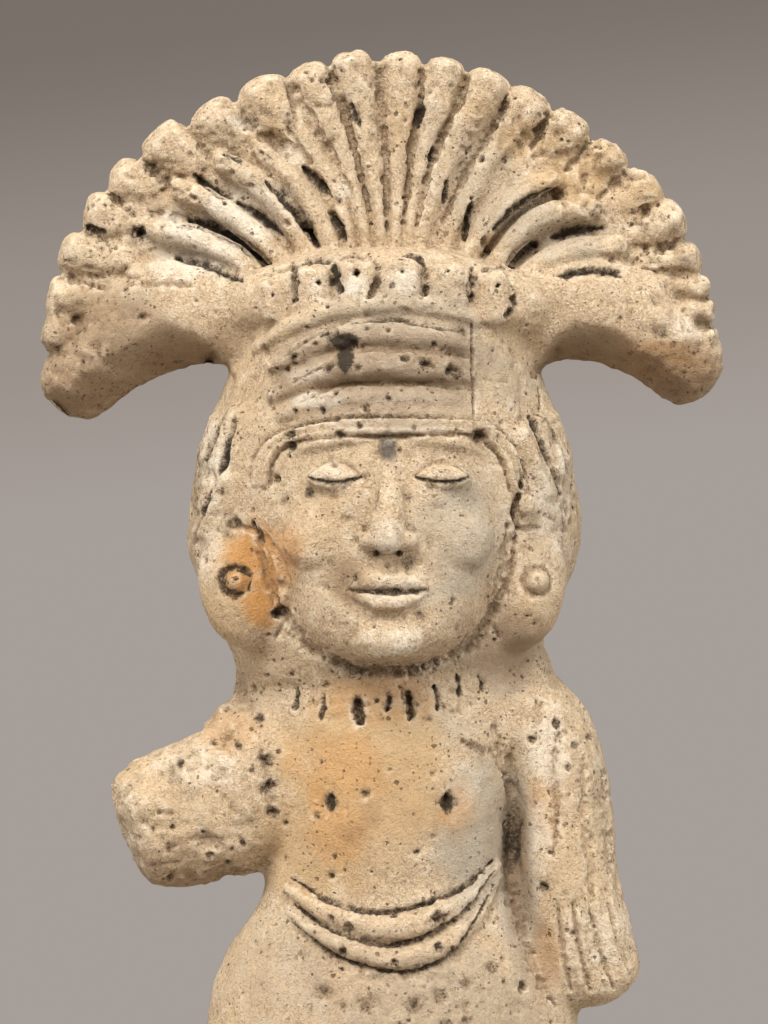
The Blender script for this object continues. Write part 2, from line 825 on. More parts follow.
@dataclass
class LowerBody(Form):
    """The low base, the bell skirt with its rolled hem, and the feet."""

    stature: Stature
    base_width: float = 86 * MM
    base_depth: float = 60 * MM
    half_width: float = 37.4 * MM
    half_depth: float = 25 * MM
    hem_radius: float = 2.6 * MM
    hem_rise: float = 0.14
    foot: Triple = (7.5 * MM, 10 * MM, 9 * MM)
    profile: Track = (
        (-0.04, 0.93, 0.93), (0.1, 0.97, 0.98), (0.25, 1, 1.02), (0.45, 1, 1.02),
        (0.63, 0.99, 0.96), (0.74, 0.955, 0.88), (0.84, 0.855, 0.8), (0.91, 0.755, 0.76),
        (0.97, 0.685, 0.73), (1.06, 0.66, 0.71),
    )
    drilled: Track = (
        (-11.7, 61.4, 1.4), (-3.3, 58.8, 1.4), (6.5, 59, 1.4), (11.6, 60.4, 1.2), (16.7, 63, 1),
        (21.9, 65.8, 1), (12.5, 54.6, 1.1), (16.9, 55.8, 0.9), (-7.7, 58.8, 0.7),
    )
    stains: Stains = (
        (Mark.ASH, ((14, 58, 26, 14, 0.45), (-20, 66, 14, 14, 0.3))),
        (Mark.UMBER, ((0, 60, 40, 17, 0.32), (6, 12, 46, 9, 0.3), (31, 66, 4, 12, 0.4))),
        (Mark.OCHRE, ((-27, 58, 8, 20, 0.35), (-24, 30, 20, 22, 0.35))),
        (Mark.CHALK, ((-20, 58, 16, 14, 0.2),)),
    )

    def middle(self, rise: float) -> float:
        """How far the skirt's middle has moved across at this share of its height."""
        return self.stature.body_x * min(1.0, max(0.0, rise / 0.6))

    def masses(self) -> list[Blank]:
        """The bell skirt and waist.

        Returns:
            The blanks, which are fused with the other masses.
        """
        sections = []
        for rise, wide, deep in self.profile:
            x, z = self.middle(rise), self.stature.base + rise * self.stature.skirt
            sections.append((x, 0, z, wide * self.half_width, deep * self.half_depth))
        return [column("skirt", sections)]

    def details(self) -> list[Blank]:
        """The base, the rolled hem and the feet.

        Returns:
            The blanks, which are fused onto the masses.
        """
        wide, deep, high = self.base_width / 2, self.base_depth / 2, self.stature.base
        edge = 0.3 * high
        base = [
            (0, 0, -high, wide, deep),
            (0, 0, 0, wide, deep),
            (0, 0, high - edge, wide - 0.1 * edge, deep - 0.1 * edge),
            (0, 0, high, wide - edge, deep - edge),
        ]
        rolled = []
        for lift, share in ((-1.0, 0.0), (-0.7, 0.7), (0.0, 1.0), (0.7, 0.7), (1.0, 0.0)):
            out = self.hem_radius * (0.5 - share)
            z = high + self.hem_rise * self.stature.skirt + lift * self.hem_radius
            x = self.middle(self.hem_rise)
            rolled.append((x, 0, z, self.half_width - out, self.half_depth - out))
        made = [column("base", base, levels=12), column("hem", rolled, levels=14)]
        for side in (-1, 1):
            place = Vector((side * 1.2 * self.foot[0], -0.80 * self.half_depth, high))
            made.append(egg("foot", place, self.foot))
        return made

    def carve(self, skin: Skin) -> None:
        """The row of drilled pits, the faint folds of the cloth, the hem's line and the toes.

        Args:
            skin: The skin of the whole stone.
        """
        skin.stain(self.stains)
        skin.drill(self.drilled, 1.45, 0.8, 0.58, 0.4)
        for i, share in enumerate(spread(15)):
            foot = 36 * share
            top = 0.72 * foot + self.stature.body_x / MM
            line = [(foot, 22.0), (mix(foot, top, 0.5), 36.0), (top, 50.0 - 3 * (i % 3))]
            skin.groove(line, 1.3, 0.28, ragged=0.9)
        for side in (-1, 1):
            for i in range(1, 5):
                x = (side * 1.2 * self.foot[0] + mix(-0.92, 0.92, i / 5) * self.foot[0]) / MM
                skin.groove([(x, 7), (x, 12.8)], 0.8, 0.9, dirt=0.4)
        hips = skin.zone(((2, 52, 40, 22, 1.0),))
        skin.erode(3.0, 0.40, 68, hips, 0.20)
        skin.erode(1.7, 0.30, 69, hips, 0.40)


@dataclass
class Trunk(Form):
    """The chest, the round belly, the thick neck, the collar of slots and the two belt rolls."""

    stature: Stature
    lower: LowerBody
    half_width: float = 24.5 * MM
    half_depth: float = 18 * MM
    neck_width: float = 30.6 * MM
    neck_depth: float = 25 * MM
    profile: Track = (
        (-0.16, 0.92, 0.9), (0, 0.97, 1), (0.22, 1, 1.07), (0.5, 1, 1.04), (0.75, 1.02, 0.98),
        (1, 1.06, 0.88), (1.25, 1, 0.76),
    )
    belt: Sequence[Track] = (
        ((-18.3, 80.8, 1.2), (-10.3, 76.8, 2.4), (-0.7, 73.8, 3), (7.7, 74.6, 3), (16.5, 79.4, 2.4),
         (22.9, 85.6, 1.2)),
        ((-17.9, 76.6, 1.2), (-10.3, 71.6, 2.2), (1.3, 68, 2.6), (9.7, 69.2, 2.6),
         (17.1, 74.2, 2.2), (23.1, 83.6, 1.2)),
    )
    belt_lines: Sequence[Track] = (
        ((-17.7, 83), (-10.3, 79), (-1.5, 76.8), (7.3, 78), (15.9, 81.6), (22.1, 86.6)),
        ((-17.3, 78), (-9.3, 73.2), (0.1, 70.6), (8.7, 72.2), (17.1, 77.4), (22.5, 84.4)),
        ((-17.3, 74.4), (-9.3, 68.4), (2.5, 65.2), (10.1, 66.6), (15.9, 70.8), (22.5, 82)),
    )
    belt_pits: Track = (
        (11.3, 75.4, 1.8), (-9.9, 75.6, 1), (-6.5, 73.8, 1), (-7.5, 69.2, 1), (2.5, 67.2, 0.8),
        (11.1, 70, 1.2),
    )
    collar: Sequence[tuple[Track, float]] = (
        (((-16.7, 120.8), (-17.1, 116.4)), 0.55), (((-11.3, 119.2), (-11.9, 114.8)), 0.65),
        (((-5.1, 118.4), (-4.5, 114)), 1.15), (((1.5, 120), (0.9, 116)), 0.75),
        (((5.3, 120), (5.7, 115.2)), 0.85), (((10.5, 121.2), (11.1, 116.4)), 0.6),
        (((14.9, 123.6), (15.3, 119.2)), 0.55), (((19.1, 123.2), (20.1, 119.8)), 0.4),
    )
    crumbled_collar: Track = ((7, 117.6, 16, 4.5, 1), (-11, 117.2, 10, 4, 0.6))
    chest_holes: Track = ((-9.9, 98.4, 1.35, 1.7), (12.9, 98.5, 1.9, 2.1))
    scars: Cuts = (
        (((16, 110.4), (21, 107.6), (24.6, 109.8)), 1.1, 0.7, 0.5, 0.9),
        (((24.4, 104), (26.1, 99)), 1.1, 1.4, 0.35, 0.9),
        (((26.3, 99), (26.4, 91.5), (25.8, 84)), 1.6, 1.1, 0.5, 0.35),
        (((25.4, 107), (26.2, 98), (26, 88), (25.4, 78)), 2.6, 0.7, 0.08, 0.3),
        (((25.2, 85), (27.2, 75), (30.4, 65), (34.4, 58)), 1.3, 1, 0.22, 0.9),
        (((22.4, 113), (24.2, 104)), 1.3, 0.6, 0.12, 0.9),
        (((-23.3, 107.5), (-22.7, 101), (-21.7, 95.5)), 1.3, 0.7, 0.35, 0.9),
    )
    stains: Stains = (
        (Mark.DIRT, ((26.2, 91, 2.4, 7.5, 0.75), (24.6, 106, 3, 6, 0.3), (0, 125, 20, 3.4, 0.5))),
        (Mark.UMBER,
         ((24.6, 92, 5, 15, 0.34), (27.4, 82, 3.4, 24, 0.66), (-1.6, 96, 3.2, 4, 0.48),
          (-5, 92, 5, 3.5, 0.4), (4, 99, 13, 13, 0.34), (24, 129, 11, 9, 0.56),
          (-24, 122, 6, 10, 0.25), (27, 124, 6, 8, 0.22))),
        (Mark.ASH,
         ((27, 84, 5.2, 28, 0.85), (18, 92, 11, 20, 0.75), (24, 127, 11, 10, 0.55),
          (6, 113, 20, 6, 0.45))),
        (Mark.OCHRE, ((-2, 103, 21, 20, 0.95), (-12, 90, 14, 14, 0.75), (-6, 86, 16, 7, 0.35))),
        (Mark.RUST,
         ((-8, 105, 12, 9, 0.48), (-9, 92, 8, 9, 0.5), (0, 119, 16, 7, 0.45),
          (14.5, 97, 4, 5, 0.42), (-12.5, 98.4, 3, 4, 0.6))),
        (Mark.CHALK, ((14, 102, 7, 6, 0.25),)),
    )

    def front(self, x: float, z: float) -> float:
        """The depth of the skin of the trunk, or of the skirt where that stands farther out.

        Args:
            x: The place across, in metres.
            z: Its level.

        Returns:
            The skin's y, which is below 0 because the figure faces -Y.
        """
        plan, found = self.stature, []
        forms = ((self, plan.waist, plan.trunk), (self.lower, plan.base, plan.skirt))
        for form, foot, height in forms:
            rises, wides, deeps = zip(*form.profile)
            rise = (z - foot) / height
            wide = (x - plan.body_x) / (form.half_width * np.interp(rise, rises, wides))
            inside = math.sqrt(max(0.04, 1 - wide**2))
            found.append(form.half_depth * np.interp(rise, rises, deeps) * inside)
        return -max(found)

    def masses(self) -> list[Blank]:
        """The chest and the neck.

        Returns:
            The blanks, which are fused with the other masses.
        """
        x, shoulder, chin = self.stature.body_x, self.stature.shoulder, self.stature.chin
        reach = (self.stature.waist, self.stature.trunk)
        chest = scaled_rows((x, 0), reach, (self.half_width, self.half_depth), self.profile)
        neck = self.stature.neck
        levels = (
            (shoulder - 0.25 * self.stature.trunk, 1.00, 0.52),
            (shoulder - 0.05 * self.stature.trunk, 1.06, 0.60),
            (shoulder + 0.5 * neck, 1.00, 0.68),
            (chin, 0.98, 0.74),
            (chin + neck, 1.00, 0.78),
        )
        rings = [
            (x, 0.1 * self.neck_depth, z, wide * self.neck_width, deep * self.neck_depth)
            for z, wide, deep in levels
        ]
        return [column("chest", chest), column("neck", rings, levels=14)]

    def details(self) -> list[Blank]:
        """The two rolls of cloth that sag under the belly.

        Returns:
            The blanks, which are fused onto the masses.
        """
        made = []
        for track in self.belt:
            rows = curve_through(track, 27) * MM
            path = [Vector((x, self.front(x, z) + 0.25 * MM, z)) for x, z, _ in rows]
            sizes = list(rows[:, 2])
            made.append(limb("belt roll", path, sizes, sizes, sides=18))
        return made

    def carve(self, skin: Skin) -> None:
        """The belt's lines, the collar, the chest's pits and the stains of the front.

        Args:
            skin: The skin of the whole stone.
        """
        skin.stain(self.stains)
        for track, width, depth in zip(self.belt_lines, (0.55, 0.50, 0.50), (1.2, 0.9, 0.9)):
            skin.groove(curve_through(track, 15), width, depth, dirt=0.78, ragged=0.5)
            skin.groove([(x, z - 1.0) for x, z in track], 1.5, 0.35, dirt=0.12, ragged=0.6)
        skin.drill(self.belt_pits, 1.0, 0.9, 0.75, 0.6)
        skin.engrave(self.scars)
        for (top, foot), width in self.collar:
            middle = (0.5 * (top[0] + foot[0]) + 0.25, 0.5 * (top[1] + foot[1]))
            skin.groove([top, middle, foot], 1.12 * width, 1.5 * width, dirt=0.85, ragged=0.8)
            skin.swell([(middle[0] + 2.3, middle[1])], 1.8, 0.25)
        for x, z, width, depth in self.chest_holes:
            skin.groove([(x, z - 1.4), (x, z + 1.4)], width, depth, dirt=0.95, ragged=0.15)
            skin.groove([(x, z)], 4.6, 0.7, dirt=0.10, ragged=0.3)
            skin.swell([(x, z)], 11.0, 0.9)
        skin.swell([(2.2, 87.0)], 17.0, 0.8)
        skin.erode(1.4, 0.40, 70, skin.zone(self.crumbled_collar), 0.60)


@dataclass
class BrokenArm(Form):
    """The upper arm at -X, broken off short and worn blunt."""

    stature: Stature
    trunk_width: float = 24.5 * MM
    radius: float = 12.2 * MM
    reach: float = 28 * MM
    shoulder: Triple = (-28.2, 0, 110.5)
    underarm: Triple = (-38.5, 0, 87.5)
    pits: Track = (
        (-23.1, 106.6, 1.5), (-22.3, 101.2, 1.7), (-21.7, 96.2, 1.4), (-39.7, 105.8, 0.9),
        (-28.3, 109, 0.9), (-33.3, 110, 0.7), (-24.3, 114.8, 1), (-35.3, 92.4, 0.5),
        (-30.5, 86, 0.8), (-45, 93, 0.6), (-27.5, 90, 0.7),
    )
    armpit: Track = ((-33, 82.6), (-27, 83.8), (-23, 86))
    stains: Stains = (
        (Mark.CHALK, ((-50, 95, 6, 8, 0.25), (-36, 104, 12, 5, 0.35))),
        (Mark.OCHRE, ((-40, 98, 14, 14, 0.3), (-47, 103, 8, 4, 0.5))),
        (Mark.UMBER, ((-38, 94, 16, 14, 0.14), (-38, 82, 16, 5, 0.6))),
        (Mark.DIRT, ((-48, 86, 7, 7, 0.26),)), (Mark.RUST, ((-30, 112, 7, 6, 0.4),)),
    )

    def masses(self) -> list[Blank]:
        """The stump, a short limb with a blunt end.

        Returns:
            The blanks, which are fused with the other masses.
        """
        x = self.stature.body_x - 1.04 * self.trunk_width
        joint = Vector((x, 0, self.stature.shoulder - 0.47 * self.stature.trunk))
        out = Vector((-0.93, -0.12, -0.37)).normalized()
        path = [joint + out * (self.reach * share) for share in (-0.2, 0.1, 0.4, 0.7, 1.0)]
        for i, across, up in ((2, 0.0, -0.5), (3, -1.3, 0.4), (4, 0.3, 1.0)):
            path[i] = path[i] + Vector((across, 0, up)) * MM
        widths = tapered(1.48 * self.radius, 0.98 * self.radius, len(path))
        depths = tapered(1.10 * self.radius, 0.94 * self.radius, len(path))
        shoulder = egg("shoulder", Vector(self.shoulder) * MM, (7.5 * MM, 9 * MM, 7.5 * MM))
        underarm = egg("underarm", Vector(self.underarm) * MM, (9.5 * MM, 9 * MM, 7.3 * MM))
        return [limb("stump", path, widths, depths, reach=0.25), shoulder, underarm]

    def carve(self, skin: Skin) -> None:
        """The row of holes at the armpit, and the pitted, crumbling skin of the stump.

        Args:
            skin: The skin of the whole stone.
        """
        skin.stain(self.stains)
        skin.drill(self.pits, 1.0, 0.95, 0.75, 0.6)
        skin.groove(self.armpit, 1.6, 0.7, dirt=0.25, ragged=0.8)
        share = 1 - smooth_step(skin.points[:, 0], -30 * MM, -20 * MM)
        share *= smooth_step(skin.points[:, 2], 74 * MM, 84 * MM)
        share *= 1 - smooth_step(skin.points[:, 2], 120 * MM, 128 * MM)
        skin.roughen(2.2, 0.36, 21, share)
        skin.roughen(5.0, 0.60, 22, share)
        skin.roughen(1.1, 0.16, 23, share)
        skin.erode(3.2, 0.65, 24, share, 0.34)
        skin.erode(1.7, 0.45, 25, share, 0.45)


@dataclass
class HangingArm(Form):
    """The arm at +X, which hangs to the hip with a flat hand."""

    stature: Stature
    trunk_width: float = 24.5 * MM
    radius: float = 10.2 * MM
    drop: float = 53.5 * MM
    shoulder: Triple = (29.5, 0, 124)
    fingers: Sequence[Track] = (
        ((34.9, 78.2), (36, 69), (37.7, 60)), ((37.7, 78.2), (39.2, 69), (41.3, 60.6)),
        ((41.3, 77), (43.4, 69), (46.1, 61)), ((45.1, 78.2), (47, 71), (49.3, 64)),
    )
    seams: Sequence[Track] = (
        ((35, 112), (34, 104), (34.6, 96), (34, 88)), ((40.5, 108), (40, 98), (41, 88), (42, 79)),
        ((44.6, 104), (44.8, 94), (45.4, 84)), ((31, 118), (30.4, 110)),
    )
    pits: Track = ((38.5, 109.4, 0.9), (41.7, 111, 0.8), (37, 105, 0.7), (39.9, 85, 0.8))
    scars: Cuts = (
        (((34.3, 114.8), (34.9, 112.6)), 0.8, 1, 0.8, 0.6), (((32.3, 81.4),), 1.1, 1.3, 0.9, 0.3),
    )
    stains: Stains = (
        (Mark.UMBER, ((38, 94, 10, 26, 0.16),)),
        (Mark.CHALK, ((33, 108, 5, 10, 0.55), (31, 90, 3, 12, 0.35), (44, 72, 8, 8, 0.3))),
        (Mark.RUST, ((32, 98, 4, 8, 0.35), (33, 68, 4, 9, 0.35))),
        (Mark.OCHRE, ((38, 88, 9, 18, 0.3),)), (Mark.ASH, ((44, 98, 4, 14, 0.3),)),
    )

    def path(self) -> list[Vector]:
        """The arm's middle line.

        Returns:
            The places along it, from the shoulder to the fingertips.
        """
        x = self.stature.body_x + 1.06 * self.trunk_width
        top = Vector((x, 0, self.stature.shoulder - 0.06 * self.stature.trunk))
        steps = (
            (0.00, 0.00, 0.00),
            (0.60, -0.06, -0.16),
            (0.80, -0.14, -0.40),
            (0.82, -0.26, -0.62),
            (1.12, -0.40, -0.84),
            (1.36, -0.46, -1.00),
        )
        size = self.radius
        keys = [top + Vector((a * size, b * size, c * self.drop)) for a, b, c in steps]
        return [Vector(row) for row in curve_through(keys, 18)]

    def masses(self) -> list[Blank]:
        """The arm and its hand.

        Returns:
            The blanks, which are fused with the other masses.
        """
        path = self.path()
        widths = tapered(0.90 * self.radius, 1.02 * self.radius, len(path), 0.06 * self.radius)
        depths = tapered(0.96 * self.radius, 0.72 * self.radius, len(path), 0.22 * self.radius)
        shoulder = egg("shoulder", Vector(self.shoulder) * MM, (4.6 * MM, 9 * MM, 6 * MM))
        return [limb("hanging arm", path, widths, depths, reach=0.60), shoulder]

    def carve(self, skin: Skin) -> None:
        """The fingers, the eroded seams down the arm and its stains.

        Args:
            skin: The skin of the whole stone.
        """
        skin.stain(self.stains)
        for track in self.fingers:
            skin.groove(curve_through(track, 9), 0.85, 0.8, dirt=0.16, ragged=0.4)
        for track in self.seams:
            skin.groove(curve_through(track, 9), 1.3, 0.9, dirt=0.18, ragged=0.7)
        skin.engrave(self.scars)
        skin.drill(self.pits, 1.0, 0.8, 0.6, 0.7)
        share = smooth_step(skin.points[:, 0], 28 * MM, 38 * MM)
        share *= smooth_step(skin.points[:, 2], 56 * MM, 66 * MM)
        share *= 1 - smooth_step(skin.points[:, 2], 118 * MM, 126 * MM)
        skin.roughen(2.4, 0.26, 31, share, 4.0)
        skin.roughen(5.0, 0.48, 32, share, 3.0)
        skin.roughen(1.2, 0.16, 33, share, 2.5)
        skin.erode(1.9, 0.32, 34, share, 0.34)


@dataclass
class Head(Form):
    """The hood of hair and cloth, with its locks, and the mass of the face in it."""

    stature: Stature
    half_width: float = 39.7 * MM
    half_depth: float = 25 * MM
    offset: float = 0.5 * MM
    squareness: float = 2.2
    face_width: float = 25.2 * MM
    face_depth: float = 22.5 * MM
    face_setback: float = 6 * MM
    face_squareness: float = 2.4
    hood_profile: Track = (
        (-0.05, 0.73, 0.7), (0.02, 0.77, 0.8), (0.07, 0.82, 0.87), (0.12, 0.87, 0.91),
        (0.18, 0.92, 0.94), (0.24, 0.97, 0.97), (0.3, 0.99, 1), (0.38, 0.985, 1.02),
        (0.46, 0.955, 1.03), (0.55, 0.915, 1.02), (0.64, 0.835, 1), (0.71, 0.775, 0.97),
        (0.8, 0.74, 0.9), (0.89, 0.7, 0.8), (0.96, 0.6, 0.68), (1, 0.44, 0.54),
    )
    face_profile: Track = (
        (-0.01, 0.24, 0.62), (0.015, 0.46, 0.86), (0.055, 0.65, 0.97), (0.11, 0.79, 1),
        (0.19, 0.9, 1), (0.28, 0.98, 1), (0.38, 1, 1), (0.48, 1, 0.98), (0.56, 0.97, 0.95),
        (0.62, 0.92, 0.88),
    )
    locks: Sequence[tuple[Track, float, float, float]] = (
        (((-28.5, 174.2), (-29.3, 171.6), (-29.9, 169.4)), 0.32, 0.8, 0.6),
        (((-29.8, 169.8), (-30.5, 166.8), (-31.7, 162.8)), 0.52, 1.3, 1),
        (((-30.1, 175.6), (-31.1, 173.4)), 0.48, 1, 0.85),
        (((-31.1, 173.4), (-32.7, 169.2), (-34.3, 165.2)), 0.62, 1, 0.7),
        (((-33.1, 160), (-33.7, 157.2), (-34.3, 154.8)), 0.55, 1.1, 0.9),
        (((-34.9, 170.6), (-35.9, 167), (-36.5, 164.2)), 0.35, 0.8, 0.8),
        (((-31.3, 178.6), (-33.1, 174.4), (-34.7, 170.2)), 0.4, 0.5, 0.3),
        (((-27.1, 180), (-28.7, 176.2)), 0.4, 0.4, 0.25),
        (((-34.5, 154.6), (-35.9, 151.8), (-37.3, 149)), 0.4, 0.7, 0.4),
        (((29.1, 174.6), (30.1, 171.2)), 0.55, 1.3, 0.9),
        (((30.1, 171.2), (31.7, 168), (33.3, 164.4)), 0.45, 1.1, 0.8),
        (((33.3, 164.4), (34.9, 161.2), (35.7, 158.8)), 0.5, 0.9, 0.6),
        (((30.1, 175), (31.7, 173.6), (33.3, 170.4), (34.1, 168.8)), 0.35, 0.8, 0.7),
        (((31.3, 180.8), (31.3, 177.6), (31.1, 175.2)), 0.32, 0.8, 0.8),
        (((34.1, 168.8), (35.7, 164), (36.5, 159.6)), 0.35, 0.6, 0.35),
        (((37.3, 169.2), (38.3, 164), (37.9, 158)), 0.4, 0.7, 0.45),
    )
    strands: Track = (
        ((-29.3, 175), (-31, 170.6), (-32.7, 164.4)),
        ((-30.7, 162), (-33.4, 156.4), (-35.9, 151.6)), ((-32.9, 173.6), (-35, 166.6)),
        ((-34.6, 161.6), (-35.6, 157)), ((27.9, 171), (30.4, 165), (33, 159.4)),
        ((30.9, 173), (33.2, 168.2), (35.1, 163.4)), ((33.6, 174), (36.3, 166)),
    )
    lock_pits: Track = (
        (-35.5, 160.2, 0.5), (-36.9, 159.4, 0.4), (-34.7, 157.2, 0.45), (-35.7, 158.4, 0.4),
        (-36.7, 156.4, 0.4), (31.3, 155.4, 0.7), (32.3, 155, 0.5), (33.7, 154.6, 0.6),
        (34.5, 154, 0.5), (30.9, 166.8, 0.6), (30.1, 162.2, 0.5), (31.1, 173, 0.4),
        (35.6, 159.2, 0.7), (-28.4, 153.6, 1.1), (-29.9, 152.8, 0.9),
    )
    weathered: Track = (
        (-34, 158, 7, 20, 1), (35, 162, 7, 18, 1), (-28, 186, 8, 14, 0.6), (29, 184, 8, 14, 0.6),
    )
    stains: Stains = (
        (Mark.ASH, ((33, 150, 8, 20, 0.28), (26, 182, 8, 10, 0.4), (16, 150, 11, 16, 0.6))),
        (Mark.UMBER, ((-29, 153.4, 3.4, 1.8, 0.45),)),
        (Mark.OCHRE, ((-30, 184, 9, 16, 0.3), (28, 190, 6, 6, 0.4))),
        (Mark.CHALK, ((-33, 166, 4, 12, 0.45), (34, 160, 5, 18, 0.35))),
        (Mark.DIRT, ((-36, 162, 2.5, 10, 0.42),)),
    )

    def _front(self, profile: Track, size: Sequence[float], x: float, z: float) -> float:
        """The depth of one column's skin.

        Args:
            profile: The column's rows of rise, width and depth.
            size: Its offset, half width, depth, setback and squareness.
            x: The place across, in metres.
            z: Its level.

        Returns:
            The skin's y there.
        """
        offset, half_width, depth, setback, squareness = size
        rises, wides, deeps = zip(*profile)
        rise = (z - self.stature.chin) / self.stature.head
        wide = abs(x - offset) / (half_width * np.interp(rise, rises, wides))
        inside = max(0.02, 1 - min(wide, 1.0) ** squareness) ** (1 / squareness)
        return setback - depth * np.interp(rise, rises, deeps) * inside

    def hood_front(self, x: float, z: float) -> float:
        """The depth of the hood's skin at a place on its front.

        Args:
            x: The place across, in metres.
            z: Its level.

        Returns:
            The skin's y there.
        """
        deep = self.half_depth
        size = (self.offset, self.half_width, deep, 0.08 * deep, self.squareness)
        return self._front(self.hood_profile, size, x, z)

    def face_front(self, x: float, z: float) -> float:
        """The depth of the face's skin at a place on it."""
        place = (self.stature.face_x, self.face_width, self.face_depth, -self.face_setback)
        return self._front(self.face_profile, (*place, self.face_squareness), x, z)

    def masses(self) -> list[Blank]:
        """The hood and the face.

        Returns:
            The blanks, which are fused with the other masses.
        """
        levels = (self.stature.chin, self.stature.head)
        middle, half = (self.offset, 0.08 * self.half_depth), (self.half_width, self.half_depth)
        hood = scaled_rows(middle, levels, half, self.hood_profile)
        middle, half = (self.stature.face_x, -self.face_setback), (self.face_width, self.face_depth)
        face = scaled_rows(middle, levels, half, self.face_profile)
        return [
            column("hood", hood, self.squareness, 40),
            column("face", face, self.face_squareness, 36),
        ]

    def carve(self, skin: Skin) -> None:
        """The locks of hair, the jaw's crease, and what time has left on the hood.

        Args:
            skin: The skin of the whole stone.
        """
        skin.stain(self.stains)
        for track in self.strands:
            skin.swell(curve_through(track, 7), 2.4, 1.3)
        for track, width, depth, dirt in self.locks:
            skin.groove(curve_through(track, 9), width, depth, dirt=dirt, ragged=0.4)
        skin.drill(self.lock_pits, 1.0, 1.0, 0.65, 0.6)
        rises, wides, _ = zip(*self.face_profile)
        for side in (-1, 1):
            jaw = []
            for rise in np.linspace(-0.01, 0.34, 12):
                out = 1.02 * self.face_width * np.interp(rise, rises, wides)
                x = self.stature.face_x + side * out
                jaw.append((x / MM, (self.stature.chin + rise * self.stature.head) / MM - 0.6))
            skin.groove(jaw[:6], 1.5, 1.8, dirt=0.26, ragged=0.6)
            skin.groove(jaw[4:], 1.1, 1.1, dirt=0.20, ragged=0.6)
        under = [(self.stature.face_x / MM + x, self.stature.chin / MM - 1.6) for x in (-6, 0, 6)]
        skin.groove(under, 1.7, 2.0, dirt=0.28, ragged=0.6)
        sides = skin.zone(self.weathered)
        skin.erode(1.5, 0.30, 61, sides, 0.50)
        skin.roughen(2.2, 0.22, 62, sides, 3.0)


@dataclass
class EarDiscs(Form):
    """The two tall ear discs and their knobs."""

    stature: Stature
    head: Head
    half_widths: Pair = (9.0 * MM, 7.6 * MM)
    half_height: float = 12.5 * MM
    thickness: float = 7 * MM
    standout: float = 4.2 * MM
    knob: float = 2.3 * MM
    lean: float = math.radians(12)
    middles: Pair = (-27.3 * MM, 29.0 * MM)
    knobs: Pair = (-28.7 * MM, 30.7 * MM)
    scars: Cuts = (
        (((-25.5, 153.8), (-24.5, 151.6), (-23.5, 149.4)), 0.6, 1, 0.75, 0.6),
        (((-23.6, 151.4), (-21.6, 144), (-21.4, 137)), 0.9, 0.6, 0.22, 0.25),
        (((-21, 136.6), (-20.3, 134.6)), 1.25, 1.5, 1, 0.6),
        (((24.8, 153), (24, 145), (21.4, 136)), 1, 1, 0.3, 0.6),
    )
    stains: Stains = (
        (Mark.RUST,
         ((-26, 145, 7.5, 10, 0.95), (-23.5, 137, 4.6, 6, 0.9), (-19, 147, 5.4, 7, 0.62))),
        (Mark.UMBER, ((-28.7, 141.6, 3.6, 3.6, 0.3),)), (Mark.CHALK, ((-34, 146, 3.4, 9, 0.35),)),
        (Mark.OCHRE, ((-31, 138, 9, 13, 0.55), (31, 138, 7, 9, 0.35))),
    )

    def half_width(self, side: int) -> float:
        """Half the width of the disc at -X (-1) or +X (1)."""
        return self.half_widths[side > 0]

    def place(self, side: int) -> Vector:
        """Where a disc stands.

        Args:
            side: -1 for the disc at -X, or 1 for the one at +X.

        Returns:
            The middle of its front.
        """
        x = self.middles[side > 0]
        z = self.stature.chin + 0.178 * self.stature.head
        return Vector((x, self.head.hood_front(x, z) - self.standout, z))

    def knob_place(self, side: int) -> Vector:
        """The middle of the knob on a disc."""
        disc = self.place(side)
        return Vector((self.knobs[side > 0], disc.y, disc.z + 0.12 * self.half_height))

    def masses(self) -> list[Blank]:
        """The discs, whose feet lean in towards the neck.

        Returns:
            The blanks, which are fused with the other masses.
        """
        made = []
        for side in (-1, 1):
            middle = self.place(side) + Vector((0, self.thickness, 0))
            sizes = (self.half_width(side), self.thickness, self.half_height)
            disc = egg("ear disc", middle, sizes, 64)
            turn = Matrix.Rotation(side * self.lean, 4, "Y")
            disc.data.transform(Matrix.Translation(middle) @ turn @ Matrix.Translation(-middle))
            made.append(disc)
        return made

    def rim(self, side: int, share: float) -> Track:
        """Places round a disc.

        Args:
            side: -1 for the disc at -X, or 1 for the one at +X.
            share: How far from its middle, as a share of its size.

        Returns:
            The places, in millimetres.
        """
        disc, turn = self.place(side), Matrix.Rotation(side * self.lean, 3, "Y")
        spots = []
        for i in range(25):
            across, up = math.cos(math.tau * i / 24), math.sin(math.tau * i / 24)
            out = (share * self.half_width(side) * across, 0, share * self.half_height * up)
            spot = disc + turn @ Vector(out)
            spots.append((spot.x / MM, spot.z / MM))
        return spots

    def details(self) -> list[Blank]:
        """The knobs.

        Returns:
            The blanks, which are fused onto the masses.
        """
        inward = Vector((0, 0.5 * self.knob, 0))
        places = [self.knob_place(side) + inward for side in (-1, 1)]
        return [egg("knob", place, (self.knob,) * 3, 32) for place in places]

    def carve(self, skin: Skin) -> None:
        """The ring and the hole of each knob, the disc's edge, and the stains round them.

        Args:
            skin: The skin of the whole stone.
        """
        skin.stain(self.stains)
        for side in (-1, 1):
            arms = [(math.cos(math.tau * i / 20), math.sin(math.tau * i / 20)) for i in range(21)]
            knob = self.knob_place(side) / MM
            ring = [(knob.x + 2.9 * a, knob.z + 2.9 * b) for a, b in arms]
            skin.groove(ring, 0.85, 0.8, dirt=0.80 if side < 0 else 0.30, ragged=0.6)
            skin.groove([(knob.x, knob.z + 0.4)], 0.55, 0.8, dirt=0.85 if side < 0 else 0.4)
            rim = self.rim(side, 0.98)
            inner = rim[-5:] + rim[1:7] if side < 0 else rim[6:17]
            skin.groove(inner, 1.2, 0.8, dirt=0.14, ragged=0.2)
        skin.engrave(self.scars)


